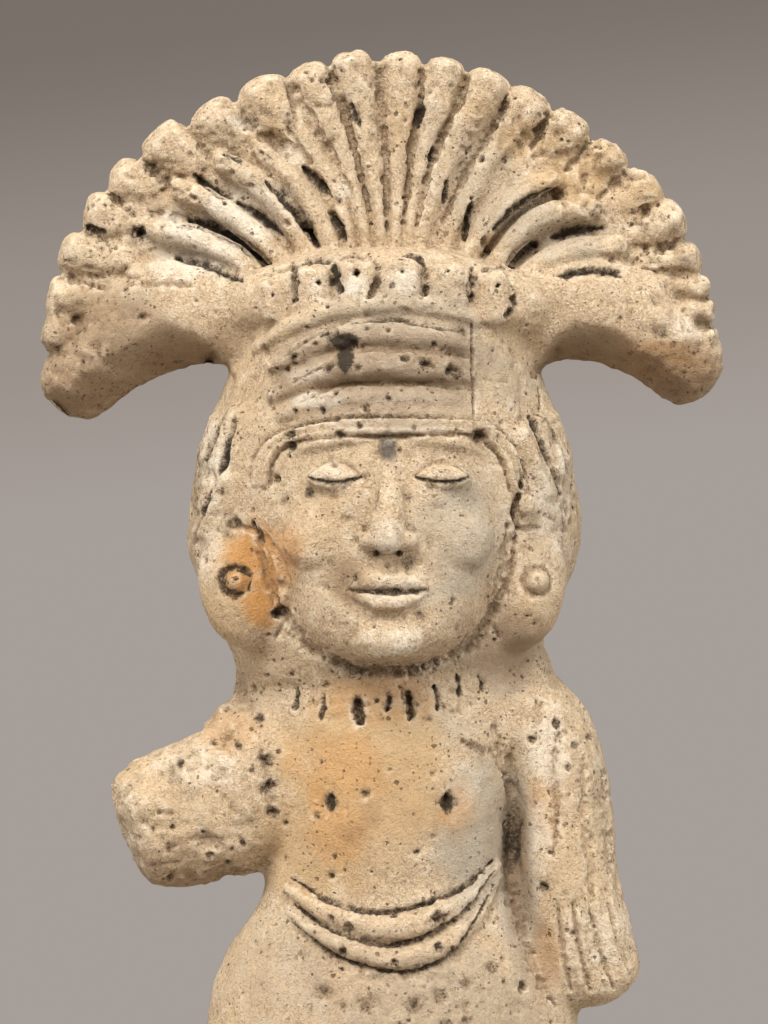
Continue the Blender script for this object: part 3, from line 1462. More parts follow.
@dataclass
class Headband(Form):
    """The rolls of cloth over the brow, the side strap and the thin frontlet under them."""

    stature: Stature
    head: Head
    standout: float = 0.10
    frontlet_radius: float = 1.10 * MM
    bow: float = 0.38
    knob_place: Pair = (28.5 * MM, 157 * MM)
    knob_sizes: Triple = (1.9 * MM, 1.7 * MM, 2.3 * MM)
    knob_standout: float = 1.1 * MM
    rolls: Sequence[Track] = (
        ((-24.7, 188, 1.6), (-16.3, 192.8, 2.2), (-8.3, 195.4, 2.4), (1.7, 196.6, 2.4),
         (11.7, 195.8, 2.4), (18.5, 193.6, 1.8)),
        ((-21.1, 184.4, 1.8), (-12.3, 188.8, 2.6), (-5.3, 190.4, 2.9), (3.7, 190.4, 2.9),
         (11.7, 189.6, 2.9), (16.9, 188.2, 1.5)),
        ((-21.1, 178.8, 2), (-12.3, 182.8, 3), (-4.3, 184.2, 3.4), (3.7, 184.4, 3.4),
         (11.7, 183.8, 3.4), (16.9, 182.4, 1.7)),
        ((-19.5, 174.8, 1.8), (-12.3, 176.8, 2.6), (-4.3, 177.6, 3), (3.7, 177.8, 3),
         (11.7, 177.4, 3), (16.9, 176.4, 1.4)),
    )
    frontlet: Track = (
        (-24.1, 161.2), (-23, 166.6), (-19.3, 170), (-14.3, 171.4), (-6.3, 172.2), (3.7, 172.4),
        (13.7, 172.4), (19.7, 171.8), (23.7, 168.8), (26.1, 165), (27.3, 160),
    )
    lines: Sequence[tuple[Track, float, float, float]] = (
        (((-19.3, 186.4), (-12.3, 191), (-7.3, 193)), 0.5, 0.6, 0.45),
        (((-5.9, 192.8), (1.7, 193.4), (7.7, 192.6), (16.7, 190.6)), 0.45, 0.9, 0.75),
        (((-17.9, 180.8), (-9.7, 185), (-4.3, 187.2), (6.7, 187.6), (17.3, 186)), 0.5, 0.6, 0.35),
        (((-16.3, 177.2), (-9.9, 180), (-4.3, 180.8), (7.7, 180.8), (17.3, 179.6)), 0.5, 0.6, 0.38),
        (((-17.3, 172.6), (-7.3, 174.2), (3.7, 174.4), (14.7, 174)), 0.42, 0.9, 0.75),
        (((17.7, 193.6), (17.9, 184), (18.1, 172.8)), 0.42, 0.7, 0.55),
        (((19.3, 182), (24.7, 181.2)), 0.4, 0.3, 0.15),
        (((-22, 176.4), (-21.4, 183), (-23.4, 188.4)), 0.9, 0.5, 0.15),
        (((27.4, 172), (27.8, 180), (25.6, 188)), 0.9, 0.5, 0.12),
        (((27.3, 166.4), (28, 163.4), (27.7, 160)), 0.85, 1.4, 0.7),
        (((26.9, 159), (26.3, 156.4), (26.5, 153.8), (27.3, 152)), 0.8, 1.3, 0.6),
    )
    holes: Track = (
        (-10.5, 183.8, 0.9), (-4.7, 184, 0.9), (4.7, 186, 1), (8.7, 184.8, 1.5), (14.1, 183.2, 1.9),
        (-17.3, 185.8, 0.8), (-16.9, 175.4, 0.7), (-11.5, 175.6, 0.8), (-3.1, 175.8, 0.7),
        (1.3, 178, 0.7), (-17.9, 171, 1.1), (-17.9, 168.6, 1.2), (-8.3, 170.8, 1.3),
        (-4.3, 172.6, 0.8), (6.3, 172.2, 0.8), (19.3, 170.6, 1.7), (-12.9, 188.6, 0.6),
        (10.3, 188.4, 0.6), (-20.1, 180.2, 0.6),
    )
    scars: Cuts = (
        (((-3.9, 174.2), (4.1, 174.4), (15.1, 174)), 0.4, 0.6, 0.7, 0.6),
        (((-11.4, 190.6), (-7.4, 189.4), (-4.4, 188)), 1.3, 0.6, 0.8, 0.9),
    )
    stains: Stains = (
        (Mark.DIRT, ((-7.2, 189.2, 3.6, 2, 1.3), (-7, 186, 1.7, 4, 1.2), (27.4, 160, 2.2, 8, 0.4))),
        (Mark.ASH, ((3, 185, 26, 15, 0.72), (14, 190, 8, 12, 0.35))),
        (Mark.UMBER,
         ((1, 183, 26, 14, 0.6), (-16, 188, 9, 7, 0.28), (6, 183, 16, 7, 0.25),
          (8.7, 184.8, 3, 2.2, 0.75), (19.3, 170.6, 2.4, 1.8, 0.85))),
        (Mark.CHALK,
         ((-14.5, 182.4, 4.6, 2, 0.7), (-12.4, 177.8, 6, 2, 1.1), (1, 184.6, 5, 1.2, 0.6),
          (3, 178, 14, 2, 0.5), (4, 190, 11, 1.8, 0.2), (2, 172.2, 17, 1.4, 0.4))),
    )

    def details(self) -> list[Blank]:
        """The rolls and the frontlet's double cord.

        Returns:
            The blanks, which are fused onto the masses.
        """
        made = []
        for track in self.rolls:
            rows = curve_through(track, 27) * MM
            fronts = [self.head.hood_front(x, z) + self.standout * half for x, z, half in rows]
            path = [Vector((x, front, z)) for front, (x, z, _) in zip(fronts, rows)]
            sizes = list(0.94 * rows[:, 2])
            made.append(limb("roll", path, sizes, sizes, sides=20))
        plan = self.stature
        for lift in (-0.72, 0.72):
            path = []
            for x, z in curve_through(self.frontlet, 41) * MM:
                out = Vector((x - plan.face_x, 0, z - plan.chin - self.bow * plan.head))
                spot = Vector((x, 0, z)) + out.normalized() * (lift * self.frontlet_radius)
                here = (spot.x, spot.z)
                deep = min(self.head.face_front(*here), self.head.hood_front(*here))
                path.append(Vector((spot.x, deep - 0.30 * self.frontlet_radius, spot.z)))
            made.append(cord("frontlet", path, self.frontlet_radius, thin_ends=0.3))
        x, z = self.knob_place
        place = Vector((x, self.head.hood_front(x, z) - self.knob_standout, z))
        made.append(egg("frontlet knob", place, self.knob_sizes, 24))
        return made

    def carve(self, skin: Skin) -> None:
        """The lines between the rolls, the bubble holes, and the worn pale and sooted places.

        Args:
            skin: The skin of the whole stone.
        """
        skin.stain(self.stains)
        for track, width, depth, dirt in self.lines:
            skin.groove(curve_through(track, 13), width, depth, dirt=dirt, ragged=0.5)
        skin.drill(self.holes, 1.0, 1.1, 0.75, 0.35)
        skin.engrave(self.scars)
        middle = self.stature.chin / MM + self.bow * self.stature.head / MM
        for width, dirt, away in ((0.42, 0.06, 0.0), (0.45, 0.34, 2.1), (0.50, 0.16, -2.1)):
            line = []
            for x, z in curve_through(self.frontlet, 21):
                out = Vector((x - self.stature.face_x / MM, z - middle)).normalized()
                line.append((x + away * out.x, z + away * out.y))
            skin.groove(line, width, 0.7 if away else 0.2, dirt=dirt, ragged=0.6)
        cloth = skin.zone(((-3, 185, 25, 13, 1.0), (22, 184, 8, 12, 0.7)))
        skin.erode(1.5, 0.22, 63, cloth, 0.48)
        skin.roughen(2.2, 0.14, 64, cloth)


@dataclass
class CalmFace(Form):
    """A calm, closed-eyed face on a sculptor's usual proportions."""

    stature: Stature
    head: Head
    pits: Track = (
        (-15.5, 12, 1.1), (-10.5, 17.5, 0.8), (13, -9, 0.8), (6, -12, 0.9), (-6.5, -4.5, 0.8),
    )

    @property
    def eye(self) -> float:
        """The width of an eye, the face's own unit."""
        return 0.43 * self.head.face_width

    @property
    def brow(self) -> float:
        """The level of the brow."""
        return self.stature.chin + 0.52 * self.stature.head

    @property
    def nose(self) -> float:
        """The level of the nose's foot, halfway from the brow to the chin."""
        return (self.brow + self.stature.chin) / 2

    @property
    def mouth(self) -> float:
        """The level of the lips' meeting."""
        return self.stature.chin + 0.66 * (self.nose - self.stature.chin)

    @property
    def lid(self) -> float:
        """The level of the closed eyes."""
        return self.brow - 0.075 * self.stature.head

    def on(self, x: float, z: float, lift: float) -> Vector:
        """A point that stands this far out of the face, x being measured from its middle."""
        x = self.stature.face_x + x
        return Vector((x, self.head.face_front(x, z) - lift, z))

    def details(self) -> list[Blank]:
        """The nose, eyes, brows, lips, cheeks and chin."""
        return [*self._nose(), *self._eyes(), *self._mouth()]

    def _nose(self) -> list[Blank]:
        """The bridge, the tip and the wings of the nose.

        Returns:
            The blanks, which are fused onto the masses.
        """
        eye, height = self.eye, self.brow - self.nose
        keys = [
            self.on(0, self.brow, -0.20 * eye),
            self.on(0, self.nose + 0.66 * height, -0.10 * eye),
            self.on(0, self.nose + 0.38 * height, 0.06 * eye),
            self.on(0, self.nose + 0.18 * height, 0.16 * eye),
        ]
        path = [Vector(row) for row in curve_through(keys, 15)]
        widths = tapered(0.25 * eye, 0.33 * eye, len(path))
        made = [limb("bridge", path, widths, [0.30 * eye] * len(path))]
        tip = self.on(0, self.nose + 0.15 * height, 0.20 * eye)
        made.append(egg("nose tip", tip, (0.27 * eye, 0.26 * eye, 0.24 * eye)))
        for side in (-1, 1):
            wing = self.on(side * 0.33 * eye, self.nose + 0.13 * height, 0.03 * eye)
            made.append(egg("wing", wing, (0.20 * eye, 0.26 * eye, 0.18 * eye)))
        return made

    def _eyes(self) -> list[Blank]:
        """The closed lids, the brows over them and the cheeks under them.

        Returns:
            The blanks, which are fused onto the masses.
        """
        eye, made = self.eye, []
        for side in (-1, 1):
            middle = side * 0.98 * eye
            lid = self.on(middle, self.lid, -0.06 * eye)
            made.append(egg("eyelid", lid, (0.52 * eye, 0.25 * eye, 0.26 * eye)))
            cheek = self.on(side * 1.12 * eye, self.nose + 0.3 * eye, -0.42 * eye)
            made.append(egg("cheek", cheek, (0.80 * eye, 0.52 * eye, 0.72 * eye)))
            path = []
            for share in spread(15):
                z = self.brow + 0.10 * eye * (1 - share * share) - 0.10 * eye * share
                path.append(self.on(side * (1.0 + 0.62 * share) * eye, z, -0.05 * eye))
            made.append(cord("brow", path, 0.18 * eye, thin_ends=0.5))
        return made

    def _mouth(self) -> list[Blank]:
        """The closed lips and the chin.

        Returns:
            The blanks, which are fused onto the masses.
        """
        eye, made = self.eye, []
        for side in (-1, 1):
            path = []
            for share in np.linspace(0, 1, 9):
                lift = 0.17 * math.cos(0.5 * math.pi * share) + 0.05 * math.sin(math.pi * share)
                x = side * (0.10 + 0.66 * share) * eye
                path.append(self.on(x, self.mouth + lift * eye, 0.0))
            sizes = tapered(0.17 * eye, 0.06 * eye, len(path), 0.02 * eye)
            made.append(limb("upper lip", path, sizes, sizes, sides=16))
        path = []
        for share in spread(17):
            z = self.mouth - 0.18 * eye * (1 - share * share)
            path.append(self.on(0.68 * eye * share, z, 0.0))
        made.append(cord("lower lip", path, 0.20 * eye, thin_ends=0.62))
        chin = self.on(0, self.stature.chin + 0.060 * self.stature.head, -0.26 * eye)
        made.append(egg("chin", chin, (0.66 * eye, 0.44 * eye, 0.40 * eye)))
        return made

    def carve(self, skin: Skin) -> None:
        """The slits of the lids and lips, the nostrils, and the wear and grime of age.

        Args:
            skin: The skin of the whole stone.
        """
        eye, middle = self.eye / MM, self.stature.face_x / MM
        levels = (self.brow, self.nose, self.mouth, self.lid)
        brow, nose, mouth, lid = (level / MM for level in levels)
        for side in (-1, 1):
            slit, fold = [], []
            for share in spread(11):
                x = middle + (side * 0.98 + 0.50 * share) * eye
                slit.append((x, lid - 0.11 * eye * (1 - share * share)))
                fold.append((x, lid + 0.27 * eye * (1 - share * share) + 0.02 * eye))
            skin.groove(slit, 0.55, 0.75, dirt=0.85, ragged=0.35)
            skin.groove(fold, 0.50, 0.35, dirt=0.40, ragged=0.4)
            skin.groove([(middle + side * 0.20 * eye, nose + 0.2)], 0.75, 0.9, dirt=0.8, ragged=0.2)
            corner = middle + side * 0.72 * eye
            skin.groove([(corner, mouth + 0.1)], 0.9, 0.5, dirt=0.45, ragged=0.3)
        half = 0.70 * eye
        lips = [(middle + half * share, mouth + 0.25 * (share * share)) for share in spread(9)]
        skin.groove(lips, 0.55, 0.8, dirt=0.8, ragged=0.35)
        dip = [(middle, mouth + 0.42 * eye), (middle, nose - 0.16 * eye)]
        skin.groove(dip, 1.0, 0.35, ragged=0.2)
        hollow = mouth - 0.47 * eye
        under = [(middle - 0.3 * eye, hollow), (middle + 0.3 * eye, hollow)]
        skin.groove(under, 1.5, 0.4, ragged=0.3)
        for across, up, radius in self.pits:
            skin.groove([(middle + across, nose + up)], radius, 0.8 * radius, dirt=0.7, ragged=0.5)
        aged = skin.zone(((middle, nose + 3.0, 24, 24, 1.0),))
        skin.erode(2.1, 0.34, 65, aged, 0.52)
        skin.roughen(1.5, 0.10, 66, aged)
        spots = (
            (Mark.SOOT, 0, brow - 0.6, 2.4, 3.4, 0.80),
            (Mark.CHALK, 0, nose + 4.0, 4.2, 4.6, 0.50),
            (Mark.CHALK, -eye, lid, 5.4, 3.4, 0.45),
            (Mark.CHALK, eye, lid, 5.0, 2.8, 0.30),
            (Mark.CHALK, 1.5, mouth, 7.5, 3.2, 0.45),
            (Mark.CHALK, 1.0, 130.5, 8.5, 3.6, 0.40),
            (Mark.UMBER, -8.0, mouth + 2.0, 5.0, 6.0, 0.62),
            (Mark.DIRT, -8.5, mouth + 1.0, 3.0, 4.0, 0.30),
            (Mark.OCHRE, -14, 156, 7, 10, 0.35),
            (Mark.ASH, 13, mouth + 6, 8, 16, 0.45),
        )
        for mark, across, *rest in spots:
            skin.patch(mark, middle + across, *rest)


@dataclass
class TabRow(Form):
    """The drilled tabs between the headband and the feathers, and the wall behind them."""

    stature: Stature
    half_width: float = 22.3 * MM
    half_depth: float = 25 * MM
    wall: float = 7 * MM
    wall_ends: float = 3.2 * MM
    blocks: Track = (
        (-21.1, 198, 2.9, 3.4), (-13.4, 199.9, 3.5, 3.8), (-4.9, 201.3, 3.8, 3.9),
        (3.7, 201.6, 4, 3.7), (13.2, 200.7, 4.2, 3.8), (21.6, 198.6, 3.5, 4.3),
    )
    drilled: Track = (
        (-21.5, 198.4, 0.5, 0.4), (-12.3, 200.8, 0.6, 0.85), (-4.9, 202.6, 0.85, 1),
        (4.1, 203, 0.5, 0.6), (13.1, 203.1, 0.45, 0.9), (23, 200.2, 0.55, 0.6),
    )
    grime: Sequence[tuple[Track, float]] = (
        (((-9.4, 204.6), (-9, 201.4), (-8.2, 198.8)), 0.95),
        (((-8, 205.4), (-4.9, 206), (-2.2, 205.4)), 0.55),
        (((-1.2, 204.8), (-0.7, 202.4), (-1, 199.8), (-2.6, 197.8)), 0.6),
        (((-17.6, 205.2), (-17.2, 202), (-17.4, 197)), 0.7),
        (((-15.6, 204.6), (-13, 205.4), (-10.3, 204.8)), 0.75),
        (((3.9, 205.6), (7.1, 206), (8.4, 204.6)), 0.85),
        (((8.4, 204.8), (8.5, 201.6), (8.6, 198.4)), 0.75),
        (((17.8, 203.4), (17.8, 200), (17.4, 196.6)), 0.7),
        (((26.3, 198.4), (25.7, 196), (24.6, 194)), 0.75),
        (((19.7, 203.2), (22.7, 203.8), (26.2, 204.2)), 0.6),
        (((-24, 202.4), (-20.4, 203), (-18, 204.6)), 0.3),
    )
    stains: Stains = (
        (Mark.CHALK,
         ((-4.6, 200.4, 3.6, 3, 0.6), (4.3, 201.5, 3.6, 3, 0.5), (-12.3, 199.5, 3, 3, 0.35))),
        (Mark.ASH, ((8, 196.5, 18, 5, 0.5),)), (Mark.DIRT, ((-12, 205.4, 5, 1.6, 0.4),)),
        (Mark.RUST, ((19.5, 197, 3, 5, 0.25),)),
    )

    def _depth(self, x: float) -> float:
        """How far forward the row stands at this place."""
        share = (x - self.stature.face_x) / self.half_width
        return -0.74 * self.half_depth + 0.16 * self.half_depth * share * share

    def masses(self) -> list[Blank]:
        """The rounded wall that the tabs stand on.

        Returns:
            The blanks, which are fused with the other masses.
        """
        keys = []
        for share in spread(6):
            x = self.stature.face_x + self.half_width * share
            z = self.stature.crown - 0.055 * self.stature.head * (1 + share * share) - 2.1 * MM
            keys.append((x, self._depth(x) + 6.8 * MM, z))
        keys[0] = (keys[0][0] - self.wall_ends, *keys[0][1:])
        keys[-1] = (keys[-1][0] + self.wall_ends, *keys[-1][1:])
        path = [Vector(row) for row in curve_through(keys, 21)]
        radii = [self.wall] * len(path)
        return [limb("wall", path, radii, radii)]

    def details(self) -> list[Blank]:
        """The tabs, each a low rounded block.

        Returns:
            The blanks, which are fused onto the masses.
        """
        made = []
        for x, z, wide, high in self.blocks:
            place = Vector((x * MM, self._depth(x * MM) + 0.6 * MM, (z - 0.7) * MM))
            half = Vector((0, 0, (high + 0.6 - 0.6 * wide) * MM))
            ends = [place - half, place + half]
            made.append(limb("tab", ends, [wide * MM] * 2, [2.5 * MM] * 2, 28, 0.75, 2.8))
        return made

    def carve(self, skin: Skin) -> None:
        """The drilled holes and the dark grime between the tabs.

        Args:
            skin: The skin of the whole stone.
        """
        skin.stain(self.stains)
        for x, z, width, dirt in self.drilled:
            hole = [(x - 0.6 * width, z - 0.1), (x + 0.6 * width, z + 0.1)]
            skin.groove(hole, width, 1.5, dirt=dirt, ragged=0.3)
        for track, dirt in self.grime:
            skin.groove(curve_through(track, 9), 0.75, 0.9, dirt=dirt, ragged=1.0)
        skin.erode(1.6, 0.35, 67, skin.zone(((0, 199.5, 27, 7, 1.0),)), 0.45)


@dataclass
class FanHeaddress(Form):
    """The fan: a plate, feathers with knuckled tips, short inner ridges and two drooping ends."""

    stature: Stature
    half_width: float = 67.4 * MM
    rise: float = 60 * MM
    thickness: float = 15 * MM
    setback: float = 1 * MM
    lobe: float = 10 * MM
    root_width: float = 29 * MM
    root_rise: float = 18 * MM
    centre_drop: float = 12 * MM
    notch: float = 2.7 * MM
    plate_depth: float = 5.0 * MM
    feathers: Sequence[Track] = (
        ((-22.7, 237.6, 5.2), (-20.5, 234.4, 5.4), (-14.6, 229, 3.2), (-9.9, 221.2, 2.6),
         (-7.3, 213.6, 2), (-6.1, 208, 1.6)),
        ((-14.1, 240.8, 4.6), (-11.5, 236, 4.8), (-8.5, 229, 3.4), (-6.1, 221.2, 2.3),
         (-3.9, 213.6, 1.8), (-2.9, 208, 1.6)),
        ((-5.7, 243.6, 4.1), (-4.3, 236.4, 3.9), (-2.9, 229, 2.8), (-1.5, 221.2, 2.1),
         (-0.5, 213.6, 1.6), (-0.1, 208, 1.4)),
        ((3.9, 243.4, 4.3), (3.7, 236.6, 3.9), (3.5, 229, 2.7), (3.2, 221.2, 2.1),
         (2.9, 213.6, 1.7), (2.7, 208, 1.5)),
        ((12.5, 242.6, 4.1), (11.1, 236.6, 3.5), (8.9, 229, 2.5), (7.1, 221.2, 1.9),
         (5.9, 213.6, 1.5), (5.5, 208, 1.3)),
        ((20.7, 239.6, 4.5), (16.9, 232.8, 3.9), (14.1, 228, 3.6), (11.1, 221.2, 3.2),
         (8.7, 213.6, 2.4), (7.7, 208, 2)),
        ((28.5, 235.2, 5), (25.3, 231, 4.4), (21.3, 226, 3.2), (18, 219.2, 3), (14.6, 213, 2.4),
         (13.3, 208, 2)),
    )
    blocks: Sequence[Track] = (
        ((-32.6, 232.7, 4.9), (-28.7, 230, 4)), ((-41.9, 227.9, 5.1), (-36.7, 224.8, 4.2)),
        ((-50.1, 220.9, 4.7), (-43.3, 220.6, 3.8)), ((-55.3, 214.4, 4.8), (-48.7, 214, 3.6)),
        ((-60, 206.8, 4.4), (-51.3, 206, 3.4)), ((-62.4, 197.4, 4.8), (-53.9, 198.2, 3.6)),
        ((-63.3, 191.4, 4.6), (-57.9, 189.6, 3.2)), ((36.6, 231.3, 4.6), (33.3, 228.8, 4)),
        ((44.3, 225.5, 4.3), (42.1, 223.6, 3.6)), ((51.2, 219.2, 4.7), (47.3, 217.2, 3.8)),
        ((56.3, 212.8, 4.7), (50.5, 210.8, 3.6)), ((60.5, 205.8, 3.6), (50.5, 205.6, 2.8)),
        ((63.1, 200, 2.7), (54.1, 201.2, 2)), ((64.2, 195.2, 2.7), (56.9, 197.2, 2)),
        ((64.5, 190.2, 2.7), (59.7, 192.8, 1.8)),
    )
    ridges: Sequence[Track] = (
        ((-23.9, 228, 2.3), (-17.3, 221, 2.6), (-13.3, 215, 2.4), (-10.3, 209, 1.9)),
        ((-31.5, 225.4, 2.4), (-23.9, 220.6, 2.7), (-18.3, 214, 2.4), (-14.7, 207, 2)),
        ((-40.3, 219.8, 2.4), (-33.3, 216.6, 2.7), (-25.9, 211.4, 2.5), (-19.3, 205, 2.2)),
        ((-44.3, 211.8, 2.4), (-37.3, 210.2, 2.9), (-29.3, 206.4, 2.7), (-23.9, 200.6, 2.4)),
        ((-48.9, 203, 2), (-42.3, 203.6, 2.4), (-33.3, 201.6, 2.5), (-26.3, 197, 2.4)),
        ((34.1, 222, 2.6), (27.1, 218.6, 2.8), (21.7, 213.6, 2.8), (18.1, 208, 2.2)),
        ((42.1, 216.4, 2.7), (33.7, 214.8, 3), (27.7, 211, 2.8), (23.1, 205.6, 2.4)),
        ((46.7, 208.4, 2.6), (40.1, 208, 3), (33.1, 205.6, 3), (26.5, 200.6, 2.6)),
        ((54.7, 199.6, 2.6), (43.7, 200.6, 3), (36.1, 199.6, 2.8), (30.1, 196, 2.4)),
    )
    slots: Sequence[tuple[Track, float, float]] = (
        (((-37.1, 222.4), (-33.3, 219.8), (-29.7, 218)), 0.9, 2.2),
        (((-28.7, 217.4), (-23.9, 214.6), (-19.7, 210.8)), 0.9, 2.4),
        (((-22.9, 221.4), (-18.3, 216.6), (-15.1, 212.4), (-12.7, 208.6)), 0.95, 2.6),
        (((-15.7, 224.4), (-12.7, 221.6), (-10.3, 218.4)), 0.9, 2.2),
        (((-10.1, 215.2), (-8.3, 212.4), (-7.3, 209.6)), 0.8, 2),
        (((-38.5, 214), (-31.9, 211.6), (-26.3, 208), (-22.3, 205)), 1, 2.8),
        (((-40.9, 206.4), (-34.3, 204.8), (-27.3, 201.2)), 0.95, 2.4),
        (((8.3, 237.8), (6.9, 232.2)), 1, 2.2), (((10.5, 228.2), (9.5, 225.4)), 0.7, 1.6),
        (((13.1, 221.4), (12.3, 217)), 0.7, 1.4), (((18.1, 217.4), (16.3, 210)), 0.8, 1.8),
        (((22.7, 211.6), (25.9, 215.2), (29.7, 217.8), (34.6, 219.6)), 0.75, 1.8),
        (((25.5, 205), (28.1, 207.4), (31.1, 209.2)), 0.8, 2.2),
        (((33.9, 210.4), (38.7, 211.8), (43.9, 212.4)), 0.9, 2.4),
        (((35.1, 202.6), (40.7, 203.6), (47.1, 203.6)), 1, 2.6),
        (((-6.5, 236.6), (-4.7, 232.6)), 1.2, 1.6), (((-31.5, 227), (-27.9, 225.6)), 1, 1.6),
        (((-59.3, 212.2), (-55.1, 211.4)), 0.9, 1.5), (((-48.1, 211),), 1.7, 2.6),
    )
    scores: Sequence[tuple[Track, float, float, float]] = (
        (((-49.7, 200.8), (-43.3, 201), (-37.1, 200.2)), 0.8, 0.8, 0.4),
        (((51.1, 215.6), (53.7, 217)), 0.8, 1, 0.75), (((20.3, 210), (21.1, 207)), 0.8, 1.2, 0.7),
        (((51.7, 207), (61.7, 207.8)), 0.7, 0.7, 0.35), (((52, 204), (61, 203.6)), 0.6, 0.6, 0.3),
        (((-19.3, 233), (-14.3, 225)), 0.8, 0.7, 0.3),
        (((-18.1, 241), (-15.3, 236), (-10.3, 228), (-4.9, 217)), 0.8, 0.8, 0.45),
        (((-9.7, 241), (-6.5, 232), (-2.3, 216)), 0.8, 0.8, 0.35),
        (((-0.7, 243), (0.5, 232), (1.1, 211)), 0.8, 0.9, 0.45),
        (((8.2, 243), (8, 238), (6.1, 230), (4.7, 214)), 0.8, 0.8, 0.4),
        (((16.7, 240), (13.6, 233), (9.7, 224), (6.9, 212)), 0.8, 0.8, 0.35),
        (((25.1, 238), (20.1, 229), (15.5, 221), (11.3, 211)), 0.8, 0.8, 0.4),
        (((-24.7, 231), (-19.3, 228.4)), 0.9, 0.8, 0.6),
        (((-43.3, 220), (-37.3, 218.4)), 1.2, 0.9, 0.45),
        (((-46.3, 215.6), (-43.3, 215)), 1, 0.9, 0.7),
        (((-42, 215.4), (-34.5, 213.4)), 0.7, 0.6, 0.3),
        (((-55, 202.4), (-64, 202.2)), 0.8, 0.5, 0.25),
        (((-55.5, 193.6), (-64.5, 193.4)), 0.9, 0.5, 0.2),
    )
    lobe_edges: Sequence[Track] = (
        ((-66.1, 183), (-62.5, 181.8), (-59.7, 185.6), (-57.3, 188), (-54.5, 190.4), (-51.7, 191.2),
         (-47.7, 193.2), (-43.7, 194.6), (-41.3, 194.4), (-37.3, 192.4), (-34.1, 190), (-32.1, 188),
         (-29.7, 184.4)),
        ((31.1, 185.8), (32.7, 189), (35.1, 192.2), (37.9, 194.2), (41.9, 195), (44.7, 194.2),
         (47.5, 192.6), (50.3, 190.6), (52.7, 189), (56.7, 186.2), (59.9, 183.4), (63, 181.2)),
    )
    lobe_feet: Sequence[Track] = (
        ((-66.1, 179), (-61.7, 175.4), (-58.9, 175.8), (-56.1, 177), (-52.1, 179.2), (-48.1, 180.8),
         (-43.7, 183.6), (-39.3, 185.8), (-34.9, 186.8), (-32.5, 186), (-29.3, 182.4)),
        ((30.7, 183), (32.3, 185.2), (34.7, 186.4), (37.9, 186.6), (41.5, 186), (45.5, 185),
         (48.7, 183.4), (52.7, 181.4), (56.7, 179.6), (60.7, 178.2), (63, 178.4)),
    )
    crumbling: Track = (
        (40, 221, 10, 8, 1), (49, 224, 9, 8, 0.75), (32, 230, 9, 6, 0.8), (55, 212, 7, 8, 0.55),
        (-44, 219, 8, 7, 0.5), (-52, 212, 8, 9, 0.4), (-28, 231, 8, 5, 0.5), (-60, 196, 9, 12, 0.4),
        (61, 196, 8, 10, 0.45), (0, 240, 30, 6, 0.25),
    )
    knobbly: Track = ((60, 187, 9, 9, 1), (-61, 186, 9, 10, 0.9))
    bubbles: Track = (
        (-21.9, 226, 1.1), (-29.7, 223, 0.9), (-26.1, 220.4, 0.8), (-8.3, 217.4, 1.2),
        (-9.3, 221.5, 0.7), (-23, 213, 0.7), (-61.1, 194, 0.9), (-61.3, 189, 0.7), (3.1, 217, 0.6),
        (9.3, 214, 0.6), (15.1, 222, 0.6), (16, 228.4, 0.5), (24, 224, 0.5), (-38, 227, 0.6),
    )
    stains: Stains = (
        (Mark.UMBER,
         ((61, 183, 9, 8, 0.9), (-61, 185, 9, 9, 0.5), (-54, 192, 14, 10, 0.6), (57, 185, 9, 6, 1),
          (46, 189, 8, 4, 0.6), (-60, 180, 8, 5, 0.75), (-45, 191, 8, 4, 0.45),
          (60, 206, 4, 3, 0.4))),
        (Mark.DIRT, ((61, 182, 7, 5, 0.34), (52, 188, 9, 4, 0.3))),
        (Mark.ASH,
         ((-54, 194, 14, 10, 0.35), (34, 212, 14, 9, 0.55), (20, 222, 9, 14, 0.45),
          (10, 228, 5, 14, 0.3))),
        (Mark.RUST, ((55, 186, 10, 5, 0.6),)),
        (Mark.CHALK,
         ((-36, 208, 13, 9, 0.62), (-27, 215, 12, 9, 0.62), (61, 192, 6, 4, 0.45),
          (-27.5, 233, 4, 2.5, 0.55), (-41.5, 214.6, 3, 1.6, 0.85), (-41, 207.4, 3, 1.4, 0.7),
          (-7.8, 219, 2.2, 2, 0.65), (-18, 227, 3, 3, 0.35))),
        (Mark.SOOT, ((60.5, 206, 3.2, 1.4, 0.6),)),
        (Mark.OCHRE,
         ((37.7, 222, 9, 8, 0.75), (30, 230, 10, 5, 0.6), (52, 219, 7, 6, 0.55),
          (-22.3, 238, 6, 4, 0.4), (-24, 232, 8, 3, 0.45), (-43, 222, 8, 5, 0.3),
          (3.7, 232, 4, 6, 0.45), (19, 236, 5, 4, 0.4), (45, 228, 7, 5, 0.55),
          (-58, 196, 8, 9, 0.3))),
    )

    @property
    def level(self) -> float:
        """The level of the fan's middle."""
        return self.stature.chin + 0.76 * self.stature.head

    def masses(self) -> list[Blank]:
        """The thick drooping end on each side.

        Returns:
            The blanks, which are fused with the other masses.
        """
        made = []
        for side in (-1, 1):
            turn = math.radians(93)
            x = self.stature.face_x + side * self.root_width * math.sin(0.92 * turn)
            x -= side * 0.30 * self.lobe
            z = self.stature.chin + 0.81 * self.stature.head
            z += self.root_rise * math.cos(0.92 * turn)
            root = Vector((x, self.setback, z - 0.02 * self.rise))
            turn = math.radians(94 - 1.5 * side)
            x = side * (self.half_width * math.sin(turn) - 0.72 * self.lobe)
            tip = Vector((x, self.setback, self.level + self.rise * math.cos(turn)))
            path = bend(root, mix(root, tip, 0.46) + Vector((0, 0, 0.26 * self.rise)), tip, 16)
            radii = tapered(0.94 * self.lobe, 0.84 * self.lobe, len(path), 0.24 * self.lobe)
            depths = [1.02 * radius for radius in radii]
            made.append(limb("lobe", path, radii, depths, sides=36, squareness=2.35))
        return made

